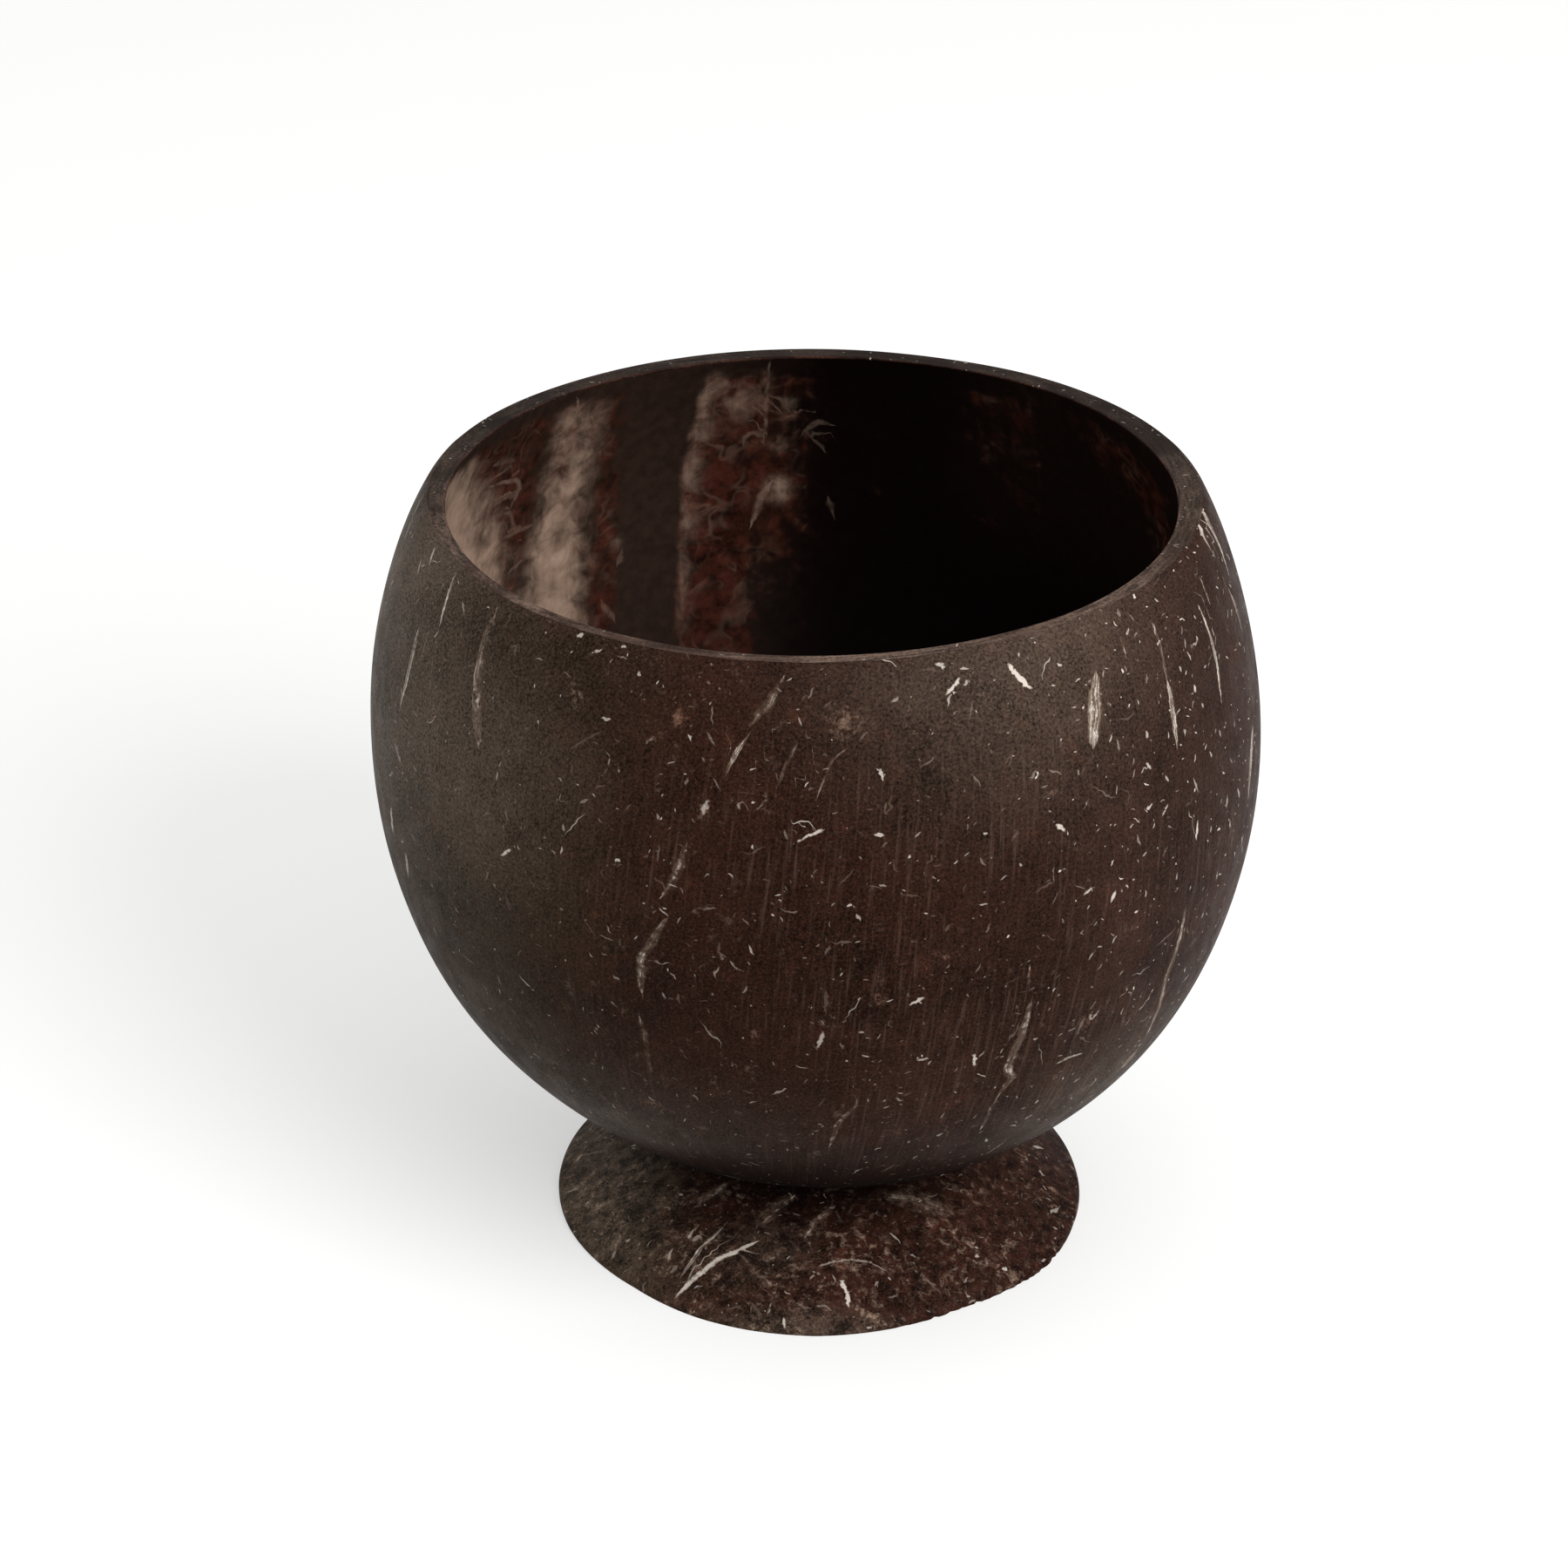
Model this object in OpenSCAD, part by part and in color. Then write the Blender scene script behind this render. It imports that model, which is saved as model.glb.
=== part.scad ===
// Coconut-shell cup on a domed shell foot.
// Millimetres. The origin is the middle of the ring that the foot stands on, +Z is up.

/* [Cup] */
// Outside diameter of the cup at its widest line
cup_d = 106; // [90:1:125]
// Height of the rim above the widest line
shoulder_h = 30.7; // [20:0.1:40]
// How far the mouth's outside edge stands in from the widest line
mouth_inset = 6.9; // [4:0.1:12]
// How much deeper the cup is below its widest line than half a ball
belly_stretch = 2; // [0.5:0.1:5]
// How much longer the belly arc's radius is than the cup's radius
belly_ease = 8; // [6:0.1:20]
// Thickness of the cup's shell
cup_wall = 2.8; // [2:0.1:4]
// Width worn off each edge of the sanded rim
rim_ease = 0.5; // [0.2:0.1:0.7]

/* [Foot] */
// Outside diameter of the foot where it stands
foot_d = 66; // [54:1:80]
// Height of the foot's dome before its top is sanded flat
foot_h = 11; // [8:0.1:14]
// Height of the blunt edge round the foot
foot_edge = 0.6; // [0.3:0.1:1.5]
// Thickness of the foot's shell
foot_wall = 2.8; // [2:0.1:4]

/* [Joint] */
// Diameter of the sanded flats where the cup and the foot meet
seat_d = 20; // [12:1:24]
// Thickness of the adhesive between the flats
glue_t = 0.4; // [0.2:0.1:1]
// How far the squeezed-out adhesive stands out past the flats
glue_bead = 3; // [1:0.5:4]

/* [Hidden] */
$fn = 180;

// How far a ball's surface falls from its pole out to a radius
function ball_fall(ball_r, out) = ball_r - sqrt(ball_r * ball_r - out * out);

// Radius of the arc that leaves a wall square to it, and turns by a width over a height
function arc_r(width, height) = (width * width + height * height) / (2 * width);

cup_r = cup_d / 2;
seat_r = seat_d / 2;

// Foot: one ball through the top of its blunt edge and its pole
foot_r = foot_d / 2;
foot_ball_r = arc_r(foot_h - foot_edge, foot_r);
foot_ball_z = foot_h - foot_ball_r;
foot_top_z = foot_h - ball_fall(foot_ball_r, seat_r);

// Cup: shoulder, belly and cap are three arcs, each tangent to the next
shoulder_r = arc_r(mouth_inset, shoulder_h);
belly_r = cup_r + belly_ease;
cap_r = cup_r - belly_stretch * belly_stretch / (2 * (belly_ease - belly_stretch));
seat_z = foot_top_z + glue_t;
cap_z = seat_z - ball_fall(cap_r, seat_r) + cap_r;
belly_z = cap_z - cap_r + cup_r + belly_stretch;
cap_turn = atan2(belly_z - cap_z, belly_ease);
rim_z = belly_z + shoulder_h;
rim_out_r = cup_r - mouth_inset;
rim_in_r = cup_r - shoulder_r + sqrt(pow(shoulder_r - cup_wall, 2) - shoulder_h * shoulder_h);

// Adhesive: its bead ends in a hollow face that reaches both shells
bead_r = seat_r + glue_bead;
bead_gap = glue_t - ball_fall(foot_ball_r, seat_r) - ball_fall(cap_r, seat_r)
    + ball_fall(foot_ball_r, bead_r) + ball_fall(cap_r, bead_r);
bead_hollow_r = 1.1 * bead_gap;

// Half section inside the cup's outer face, moved in by a depth and carried up past the rim
module cup_fill(depth, past) {
    join_z = belly_z - (belly_r - depth) * sin(cap_turn);
    bottom_z = cap_z - cap_r;
    intersection() {
        translate([cup_r - shoulder_r, belly_z]) circle(shoulder_r - depth);
        translate([0, belly_z]) square([cup_r, shoulder_h + past]);
    }
    intersection() {
        translate([-belly_ease, belly_z]) circle(belly_r - depth);
        translate([0, join_z]) square([cup_r, belly_z - join_z]);
    }
    intersection() {
        translate([0, cap_z]) circle(cap_r - depth);
        translate([0, bottom_z]) square([cup_r, join_z - bottom_z]);
    }
}

// Half section of the cup as if it were solid, with its underside sanded flat
module cup_block() {
    difference() {
        cup_fill(0, 0);
        square([cup_r, seat_z]);
    }
}

// Half section of the foot as if it were solid, with its top sanded flat
module foot_block() {
    intersection() {
        translate([0, foot_ball_z]) circle(foot_ball_r);
        square([foot_r, foot_top_z]);
    }
}

// What is worn off the rim's two edges: the outer one slanting, the inner one upright
module rim_wear() {
    reach = 3 * cup_wall;
    polygon([
        [rim_out_r - rim_ease - reach, rim_z + reach],
        [rim_out_r - rim_ease + reach, rim_z + reach],
        [rim_out_r - rim_ease + reach, rim_z - reach]
    ]);
    translate([0, rim_z - reach]) square([rim_in_r + rim_ease, 2 * reach]);
}

// The polished shell with its open mouth
module cup_shell() {
    color([0.24, 0.19, 0.16])
    rotate_extrude()
    difference() {
        cup_block();
        cup_fill(cup_wall, cup_wall);
        rim_wear();
    }
}

// The dome that it stands on, open underneath
module foot_shell() {
    color([0.23, 0.16, 0.13])
    rotate_extrude()
    difference() {
        foot_block();
        translate([0, foot_ball_z]) circle(foot_ball_r - foot_wall);
    }
}

// The adhesive between the flats, and its bead in the gap round them
module glue_joint() {
    color([0.10, 0.07, 0.05])
    rotate_extrude()
    difference() {
        translate([0, foot_edge]) square([bead_r + bead_hollow_r, belly_z - foot_edge]);
        cup_block();
        foot_block();
        translate([bead_r + bead_hollow_r, foot_top_z + glue_t / 2]) circle(bead_hollow_r);
    }
}

cup_shell();
foot_shell();
glue_joint();
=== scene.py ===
"""Looks of a polished coconut-shell cup on a domed shell foot, modelled round its solids."""
import math

import bpy
import numpy as np
from bpy.props import FloatProperty, FloatVectorProperty, IntProperty, PointerProperty
from mathutils import Matrix, Vector
from mathutils.bvhtree import BVHTree


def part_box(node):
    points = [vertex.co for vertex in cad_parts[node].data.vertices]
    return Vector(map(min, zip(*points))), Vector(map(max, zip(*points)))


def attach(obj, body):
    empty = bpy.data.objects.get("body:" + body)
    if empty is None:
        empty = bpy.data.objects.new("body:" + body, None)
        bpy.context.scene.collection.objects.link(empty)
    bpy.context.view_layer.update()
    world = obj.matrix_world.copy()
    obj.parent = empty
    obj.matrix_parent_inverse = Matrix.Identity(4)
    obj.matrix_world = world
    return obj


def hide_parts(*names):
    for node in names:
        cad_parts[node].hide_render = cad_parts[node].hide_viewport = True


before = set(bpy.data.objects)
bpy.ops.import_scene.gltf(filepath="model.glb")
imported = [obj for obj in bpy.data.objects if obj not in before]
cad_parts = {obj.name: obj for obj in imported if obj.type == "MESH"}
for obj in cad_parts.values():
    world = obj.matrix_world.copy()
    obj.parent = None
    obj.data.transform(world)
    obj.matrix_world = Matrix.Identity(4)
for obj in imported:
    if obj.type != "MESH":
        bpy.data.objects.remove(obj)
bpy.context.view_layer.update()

bl_info = {
    "name": "Coconut Shell Cup",
    "version": (1, 0, 0),
    "blender": (4, 5, 0),
    "location": "View3D > Sidebar > Coconut Cup",
    "description": "Models a polished coconut-shell cup on a domed shell foot, and its studio",
    "category": "Object",
}

MM = 0.001
BODY = "root"
CUP_LOW, CUP_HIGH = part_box("cup_shell")
FOOT_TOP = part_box("foot_shell")[1].z
IMAGE_SIDE = 1800
SENSOR = 36.0

# Long veins: half width in mm, strength, and the photograph's pixels that they run through
CUP_VEINS = {
    "left_rim": (0.22, 0.90, [(487, 567), (477, 586), (466, 615)]),
    "left_outer": (0.38, 1.00, [(482, 718), (472, 759), (466, 784), (459, 813)]),
    "left_inner": (0.22, 0.85, [(524, 657), (514, 685), (505, 717)]),
    "left_inner_end": (0.22, 0.50, [(503, 725), (494, 782), (490, 807)]),
    "left_broad": (0.80, 0.55, [(568, 708), (557, 729), (550, 759), (549, 797), (548, 826), (552, 858)]),
    "left_broad_line": (0.18, 0.70, [(571, 697), (562, 716), (552, 745), (545, 775), (543, 800)]),
    "left_broad_tail": (0.26, 0.65, [(543, 800), (544, 826), (549, 858)]),
    "upper_middle": (0.60, 0.42, [(899, 778), (880, 811), (860, 832)]),
    "upper_middle_end": (0.26, 0.60, [(860, 842), (845, 864), (833, 889)]),
    "upper_thin": (0.24, 0.36, [(916, 852), (904, 875), (893, 902)]),
    "upper_curve": (0.20, 0.48, [(973, 859), (957, 870), (948, 890), (939, 914)]),
    "zigzag_top": (0.60, 0.53, [(788, 969), (781, 993), (772, 1013), (760, 1029)]),
    "zigzag_middle": (0.65, 0.54, [(766, 1054), (746, 1084), (735, 1101), (735, 1122), (738, 1142)]),
    "zigzag_low": (0.45, 0.42, [(734, 1166), (737, 1180), (741, 1198), (748, 1233)]),
    "leaf": (0.92, 0.80, [(1258, 772), (1257, 800), (1256, 830), (1255, 860)]),
    "right_streak_top": (0.22, 0.60, [(1324, 718), (1331, 738), (1337, 767), (1341, 786)]),
    "right_streak": (0.42, 1.00, [(1339, 780), (1345, 806), (1348, 830), (1351, 856)]),
    "right_high": (0.32, 0.90, [(1378, 700), (1389, 729), (1396, 756), (1402, 803)]),
    "right_small": (0.20, 0.52, [(1284, 729), (1290, 744), (1293, 756)]),
    "right_rim": (0.34, 1.00, [(1374, 601), (1381, 614), (1389, 629)]),
    "right_rim_long": (0.42, 1.00, [(1376, 585), (1392, 610), (1402, 632), (1410, 657)]),
    "right_rim_low": (0.20, 0.60, [(1378, 664), (1384, 680), (1389, 694)]),
    "right_rim_edge": (0.45, 0.75, [(1412, 680), (1420, 700), (1425, 720)]),
    "right_edge": (0.70, 1.00, [(1438, 832), (1436, 870), (1433, 914)]),
    "right_low": (0.45, 0.65, [(1362, 1038), (1353, 1082), (1339, 1122), (1328, 1163), (1315, 1191)]),
    "right_low_edge": (0.90, 0.75, [(1304, 1207), (1294, 1219), (1285, 1228)]),
    "wavy_top": (0.30, 0.52, [(1182, 1111), (1181, 1134)]),
    "wavy": (0.65, 0.57, [(1184, 1148), (1170, 1196), (1156, 1227), (1162, 1237), (1144, 1260)]),
    "wavy_end": (0.35, 0.54, [(1144, 1260), (1134, 1280), (1126, 1296)]),
    "low_middle": (0.35, 0.55, [(982, 1260), (986, 1266), (961, 1290), (957, 1304), (951, 1318)]),
}
FOOT_VEINS = {
    "long": (0.40, 1.00, [(775, 1490), (798, 1467), (823, 1446), (846, 1436), (869, 1425)]),
    "long_soft_end": (1.10, 0.50, [(869, 1408), (890, 1387), (911, 1373)]),
    "long_branch": (0.25, 0.45, [(848, 1438), (865, 1455)]),
    "short": (0.28, 0.80, [(781, 1467), (798, 1442), (806, 1431), (829, 1410)]),
    "faint": (0.50, 0.22, [(745, 1442), (777, 1417)]),
    "soft_streak": (0.90, 0.48, [(796, 1387), (815, 1373), (836, 1358)]),
    "left_streak": (0.80, 0.46, [(701, 1448), (708, 1425), (718, 1396)]),
    "middle": (0.50, 0.56, [(924, 1421), (937, 1402), (958, 1385)]),
    "pale_patch": (1.60, 0.46, [(1015, 1375), (1046, 1375), (1071, 1385), (1097, 1396)]),
}

# Cut fibres that stand out: half width in mm, strength, and the photograph's pixels at their two ends
CUP_FLECKS = {
    "left_side": [
        (0.18, 0.80, (500, 627), (492, 650)), (0.16, 0.70, (484, 642), (479, 660)),
        (0.15, 0.90, (494, 570), (496, 572)), (0.20, 0.60, (531, 690), (533, 705)),
        (0.45, 0.90, (449, 927), (451, 955)), (0.40, 0.80, (466, 979), (469, 1008)),
        (0.35, 0.60, (453, 852), (461, 879)), (0.20, 0.40, (497, 1044), (511, 1074)),
        (0.25, 1.00, (575, 982), (586, 975)), (0.15, 0.50, (562, 999), (557, 1012)),
        (0.10, 0.35, (540, 999), (553, 990)), (0.15, 0.50, (579, 929), (584, 944)),
        (0.15, 0.50, (528, 1094), (548, 1109)), (0.20, 0.50, (571, 1119), (575, 1131)),
    ],
    "upper_left": [
        (0.20, 0.75, (679, 750), (691, 745)), (0.30, 0.80, (664, 730), (668, 729)),
        (0.15, 0.40, (654, 861), (670, 850)), (0.12, 0.40, (670, 850), (692, 839)),
        (0.18, 0.60, (700, 871), (699, 878)), (0.20, 0.55, (666, 922), (675, 917)),
        (0.18, 0.60, (646, 946), (648, 954)), (0.42, 0.70, (812, 920), (807, 934)),
        (0.18, 0.50, (786, 900), (790, 894)), (0.20, 0.60, (847, 924), (849, 928)),
        (0.14, 0.50, (818, 893), (827, 907)), (0.12, 0.50, (882, 917), (866, 932)),
        (0.10, 0.30, (846, 909), (867, 911)), (0.15, 0.50, (811, 839), (821, 857)),
    ],
    "middle": [
        (0.22, 0.90, (919, 964), (946, 952)), (0.15, 0.45, (757, 968), (754, 991)),
        (0.20, 0.50, (900, 953), (903, 963)), (0.12, 0.40, (961, 1018), (982, 997)),
        (0.15, 0.50, (851, 1054), (860, 1062)), (0.12, 0.45, (895, 1043), (908, 1049)),
        (0.12, 0.50, (908, 1049), (916, 1046)), (0.15, 0.50, (806, 1044), (823, 1042)),
        (0.15, 0.60, (838, 1103), (845, 1112)), (0.15, 0.50, (845, 1112), (854, 1115)),
        (0.10, 0.40, (668, 1052), (688, 1081)), (0.18, 0.40, (826, 1081), (824, 1096)),
        (0.25, 0.40, (949, 1134), (947, 1167)), (0.28, 0.75, (945, 1184), (938, 1204)),
        (0.18, 0.60, (760, 1140), (764, 1146)), (0.18, 0.60, (704, 1120), (711, 1124)),
        (0.22, 0.45, (947, 1096), (952, 1086)), (0.20, 0.60, (1010, 1015), (1017, 1017)),
        (0.15, 0.45, (1018, 922), (1015, 931)), (0.20, 0.50, (741, 853), (750, 847)),
        (0.20, 0.60, (754, 935), (756, 940)), (0.15, 0.40, (712, 1077), (711, 1087)),
        (0.15, 0.50, (1010, 1346), (1029, 1336)),
    ],
    "rim_right": [
        (0.20, 0.90, (1355, 625), (1362, 629)), (0.20, 1.00, (1344, 634), (1346, 636)),
        (0.22, 1.00, (1302, 683), (1302, 686)), (0.18, 0.80, (1326, 688), (1329, 690)),
        (0.18, 1.00, (1376, 696), (1377, 699)), (0.20, 1.00, (1374, 557), (1375, 559)),
        (0.18, 0.80, (1359, 586), (1360, 588)), (0.15, 0.70, (1353, 620), (1354, 622)),
    ],
    "upper_right": [
        (0.30, 1.00, (1158, 763), (1168, 777)), (0.30, 1.00, (1168, 777), (1184, 790)),
        (0.30, 0.95, (1086, 797), (1102, 779)), (0.28, 0.80, (1075, 763), (1082, 762)),
        (0.20, 0.60, (1024, 806), (1031, 801)), (0.15, 0.45, (1113, 826), (1117, 804)),
        (0.10, 0.30, (1125, 797), (1142, 803)), (0.20, 0.85, (1010, 883), (1014, 896)),
        (0.15, 0.40, (1163, 864), (1158, 882)), (0.15, 0.35, (1245, 880), (1241, 890)),
        (0.18, 0.60, (1282, 848), (1285, 862)), (0.25, 0.80, (1316, 840), (1317, 846)),
        (0.28, 0.95, (1213, 947), (1222, 953)), (0.20, 0.85, (1004, 958), (1014, 959)),
        (0.15, 0.60, (1050, 961), (1057, 955)), (0.18, 0.40, (1170, 953), (1161, 966)),
        (0.25, 0.90, (1317, 928), (1322, 924)), (0.20, 0.80, (1340, 923), (1335, 937)),
        (0.25, 1.00, (1375, 942), (1373, 964)), (0.20, 0.70, (1370, 892), (1375, 910)),
        (0.25, 0.70, (1409, 915), (1408, 927)), (0.20, 0.60, (1305, 958), (1309, 971)),
    ],
    "right_side": [
        (0.20, 0.80, (1354, 766), (1356, 770)), (0.26, 0.95, (1371, 787), (1372, 794)),
        (0.18, 0.80, (1380, 808), (1381, 812)), (0.18, 0.80, (1366, 753), (1367, 757)),
        (0.22, 0.85, (1316, 877), (1321, 882)), (0.20, 0.80, (1338, 891), (1341, 897)),
        (0.20, 0.75, (1389, 863), (1391, 868)), (0.22, 0.80, (1421, 905), (1423, 915)),
        (0.18, 0.70, (1390, 949), (1390, 955)), (0.20, 0.75, (1412, 942), (1412, 950)),
        (0.22, 0.70, (1426, 958), (1425, 973)), (0.15, 0.55, (1291, 764), (1293, 770)),
        (0.16, 0.55, (1317, 773), (1316, 785)), (0.16, 0.70, (1360, 733), (1361, 744)),
        (0.18, 0.70, (1359, 838), (1360, 842)), (0.18, 0.75, (1400, 838), (1401, 846)),
        (0.18, 0.70, (1352, 1002), (1350, 1010)), (0.18, 0.70, (1398, 1000), (1396, 1010)),
    ],
    "low_right": [
        (0.22, 0.85, (1253, 1019), (1244, 1028)), (0.25, 0.95, (1280, 1024), (1276, 1035)),
        (0.12, 0.50, (1215, 1024), (1208, 1039)), (0.15, 0.80, (1293, 1016), (1295, 1019)),
        (0.15, 0.40, (1038, 1027), (1056, 1029)), (0.12, 0.35, (1048, 1031), (1049, 1041)),
        (0.18, 0.40, (1090, 1061), (1086, 1069)), (0.15, 0.50, (1137, 1060), (1132, 1071)),
        (0.18, 0.65, (1256, 1093), (1249, 1102)), (0.14, 0.50, (1348, 1068), (1326, 1087)),
        (0.30, 0.90, (1061, 1145), (1044, 1153)), (0.12, 0.30, (1147, 1133), (1178, 1118)),
        (0.20, 0.75, (1261, 1160), (1254, 1170)), (0.30, 0.50, (1245, 1168), (1235, 1190)),
        (0.20, 0.85, (1213, 1221), (1226, 1214)), (0.20, 0.85, (1226, 1214), (1243, 1209)),
        (0.30, 0.95, (1118, 1211), (1119, 1223)), (0.20, 0.80, (1053, 1217), (1066, 1215)),
        (0.20, 0.80, (1231, 1243), (1240, 1238)), (0.22, 0.85, (1177, 1284), (1185, 1280)),
        (0.18, 0.60, (1128, 1327), (1158, 1307)), (0.25, 0.70, (1357, 1128), (1365, 1119)),
    ],
}
FOOT_FLECKS = {
    "long_vein": [
        (0.30, 0.90, (776, 1489), (798, 1467)), (0.34, 0.92, (798, 1467), (823, 1446)),
        (0.30, 0.85, (823, 1446), (846, 1436)), (0.24, 0.75, (846, 1436), (866, 1426)),
    ],
    "eye": [
        (0.18, 0.62, (939, 1454), (957, 1448)), (0.18, 0.62, (957, 1448), (978, 1446)),
        (0.18, 0.62, (978, 1446), (999, 1449)), (0.18, 0.58, (999, 1449), (1019, 1460)),
        (0.30, 1.00, (966, 1470), (972, 1482)), (0.30, 1.00, (972, 1482), (974, 1500)),
    ],
    "left": [
        (0.30, 0.45, (661, 1328), (701, 1320)), (0.30, 0.60, (650, 1369), (665, 1364)),
        (0.25, 0.35, (768, 1375), (785, 1383)), (0.25, 0.60, (703, 1444), (706, 1436)),
    ],
    "front": [
        (0.22, 0.90, (900, 1513), (900, 1524)), (0.20, 0.70, (996, 1525), (1000, 1524)),
        (0.20, 0.60, (930, 1468), (934, 1464)), (0.20, 0.60, (1004, 1475), (1008, 1472)),
        (0.20, 0.50, (880, 1470), (884, 1474)), (0.20, 0.50, (1020, 1490), (1030, 1487)),
    ],
    "right": [
        (0.25, 0.90, (1152, 1456), (1155, 1458)), (0.20, 0.80, (1120, 1442), (1123, 1442)),
        (0.30, 0.80, (1186, 1316), (1197, 1318)), (0.28, 0.70, (1194, 1344), (1197, 1349)),
        (0.20, 0.70, (1196, 1448), (1200, 1446)), (0.20, 0.60, (1112, 1495), (1120, 1492)),
    ],
}

# Bands down the cup's inside: how pale and how rusty at the top and the bottom, how soft their left and
# right edges are in degrees, and those edges, as pixels down them or as a bearing where the photograph
# hides them
INSIDE_BANDS = {
    "far_left_pale": ((0.98, 1.38), (0.6, 0.6), (8, 14), 191,
                      [(536, 520), (549, 559), (557, 596), (574, 652)]),
    "far_left_rust": ((0.10, 0.15), (0.7, 0.7), (8, 5), 236,
                      [(655, 460), (632, 509), (617, 590), (604, 640), (601, 685)]),
    "streak": ((0.42, 1.20), (0.8, 0.8), (6, 8),
               [(645, 465), (632, 509), (617, 590), (604, 640), (601, 685)],
               [(700, 465), (689, 515), (679, 552), (670, 596), (670, 640), (664, 698)]),
    "streak_rust": ((0.15, 0.10), (0.8, 0.8), (4, 4), [(692, 480), (679, 552), (664, 698)],
                    [(716, 470), (709, 577), (713, 640), (706, 712)]),
    "back_rust": ((0.15, 0.05), (1.0, 0.9), (1.5, 16),
                  [(811, 427), (795, 484), (782, 552), (779, 640), (774, 725)],
                  [(900, 420), (912, 496), (908, 546), (896, 610), (866, 665), (850, 725)]),
    "back_pale": ((0.60, -0.90), (1.0, 1.0), (2, 4), [(811, 427), (795, 484), (782, 552)],
                  [(890, 410), (882, 500), (862, 540)]),
    "back_edge": ((0.70, 0.36), (1.0, 1.0), (1.5, 4),
                  [(811, 427), (795, 484), (782, 552), (779, 640), (774, 725)],
                  [(830, 427), (818, 484), (802, 552), (795, 640), (786, 725)]),
    "right_faint": ((0.0, 0.0), (0.62, -0.20), (8, 8),
                    [(1106, 440), (1110, 500)], [(1198, 440), (1200, 505)]),
    "right_edge_faint": ((0.03, 0.0), (0.80, 0.45), (12, 8),
                         [(1225, 475), (1325, 610)], [(1280, 500), (1340, 570)]),
    "front_left_pale": ((0.30, 0.55), (0.8, 0.8), (7, 9), 228, 218),
    "front_pale": ((0.55, 1.00), (0.8, 0.8), (5, 8), 262, 246),
    "front_rust": ((0.15, 0.10), (0.9, 0.9), (3, 9), 284, 258),
    "front_right_rust": ((0.10, 0.05), (0.8, 0.6), (9, 9), 328, 308),
}
# Pale patches of the inside: how pale, radius in mm, and the photograph's pixel at their middle
INSIDE_PATCHES = {
    "back_middle": (0.60, 2.2, (892, 562)),
    "back_right_top": (0.45, 1.4, (904, 463)),
    "back_right": (0.40, 1.8, (892, 512)),
    "back_ring": (0.35, 1.4, (864, 512)),
    "left_top": (0.30, 2.2, (580, 530)),
    "left_low": (0.35, 2.2, (568, 655)),
    "streak_side": (0.30, 1.6, (706, 625)),
}
# Patches of the outside: how strong, how rusty from 0 to 1, radius in mm, and the photograph's pixel at
# their middle
OUTSIDE_PATCHES = {
    "upper_left": (0.60, 0.1, 1.3, (660, 798)),
    "upper_left_rust": (0.65, 0.9, 1.2, (777, 822)),
    "left_rust": (0.40, 0.9, 1.0, (752, 846)),
    "upper_tan": (0.55, 0.4, 2.2, (970, 828)),
    "cluster": (0.50, 0.5, 1.3, (806, 930)),
    "middle_low": (0.60, 0.9, 1.3, (1009, 1146)),
    "middle_spot": (0.60, 0.7, 0.8, (1082, 1098)),
    "low_right": (0.60, 0.7, 1.6, (1246, 1172)),
    "low_right_end": (0.45, 0.8, 1.2, (1209, 1238)),
    "right_low": (0.40, 0.8, 1.6, (1298, 1168)),
    "left_low": (0.70, 1.0, 0.8, (609, 1176)),
    "left_low_end": (0.50, 0.8, 1.2, (648, 1243)),
    "low_left": (0.55, 0.8, 1.5, (752, 1268)),
    "low_left_end": (0.40, 0.8, 1.3, (726, 1285)),
    "low_middle": (0.60, 0.9, 1.1, (864, 1188)),
    "low_middle_tan": (0.45, 0.5, 1.5, (862, 1230)),
}
# Fibres of the inside that stand out: half width in mm, strength, and the photograph's pixels
INSIDE_FIBRES = {
    "left_hook": (0.32, 0.60, [(560, 560), (580, 553), (594, 551), (596, 561), (590, 575), (570, 597)]),
    "left_inner": (0.35, 0.50, [(546, 598), (557, 586), (575, 575), (586, 567)]),
    "left_small": (0.28, 0.45, [(586, 588), (589, 600), (589, 610)]),
    "left_across": (0.28, 0.40, [(572, 622), (592, 610), (612, 603)]),
    "left_low": (0.32, 0.45, [(560, 640), (570, 646), (574, 656), (568, 664)]),
    "left_low_end": (0.28, 0.45, [(584, 658), (592, 650), (599, 644)]),
    "left_high": (0.45, 0.35, [(566, 534), (580, 528), (592, 530)]),
    "streak_spark": (0.26, 0.80, [(663, 458), (664, 470), (659, 480), (652, 488)]),
    "streak_shoulder": (0.45, 0.50, [(632, 512), (646, 501), (668, 496), (690, 484)]),
    "streak_side": (0.40, 0.40, [(714, 630), (712, 642), (708, 650)]),
    "streak_low": (0.40, 0.35, [(690, 690), (700, 705), (705, 714)]),
    "back_line": (0.28, 0.45, [(884, 416), (881, 440), (879, 470), (879, 500)]),
    "back_arc": (0.25, 0.40, [(818, 466), (842, 462), (866, 466), (876, 474)]),
    "back_stroke": (0.42, 0.75, [(886, 550), (874, 572), (862, 602)]),
    "back_ring": (0.25, 0.40, [(852, 512), (856, 499), (868, 495), (874, 506)]),
    "back_tip": (0.32, 0.45, [(893, 456), (903, 466), (912, 458)]),
    "right_curl": (0.28, 0.35, [(920, 500), (926, 492), (940, 484), (954, 488)]),
    "right_curl_low": (0.25, 0.25, [(930, 503), (942, 510), (948, 520)]),
    "right_fleck": (0.30, 0.30, [(950, 570), (957, 590)]),
}
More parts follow.
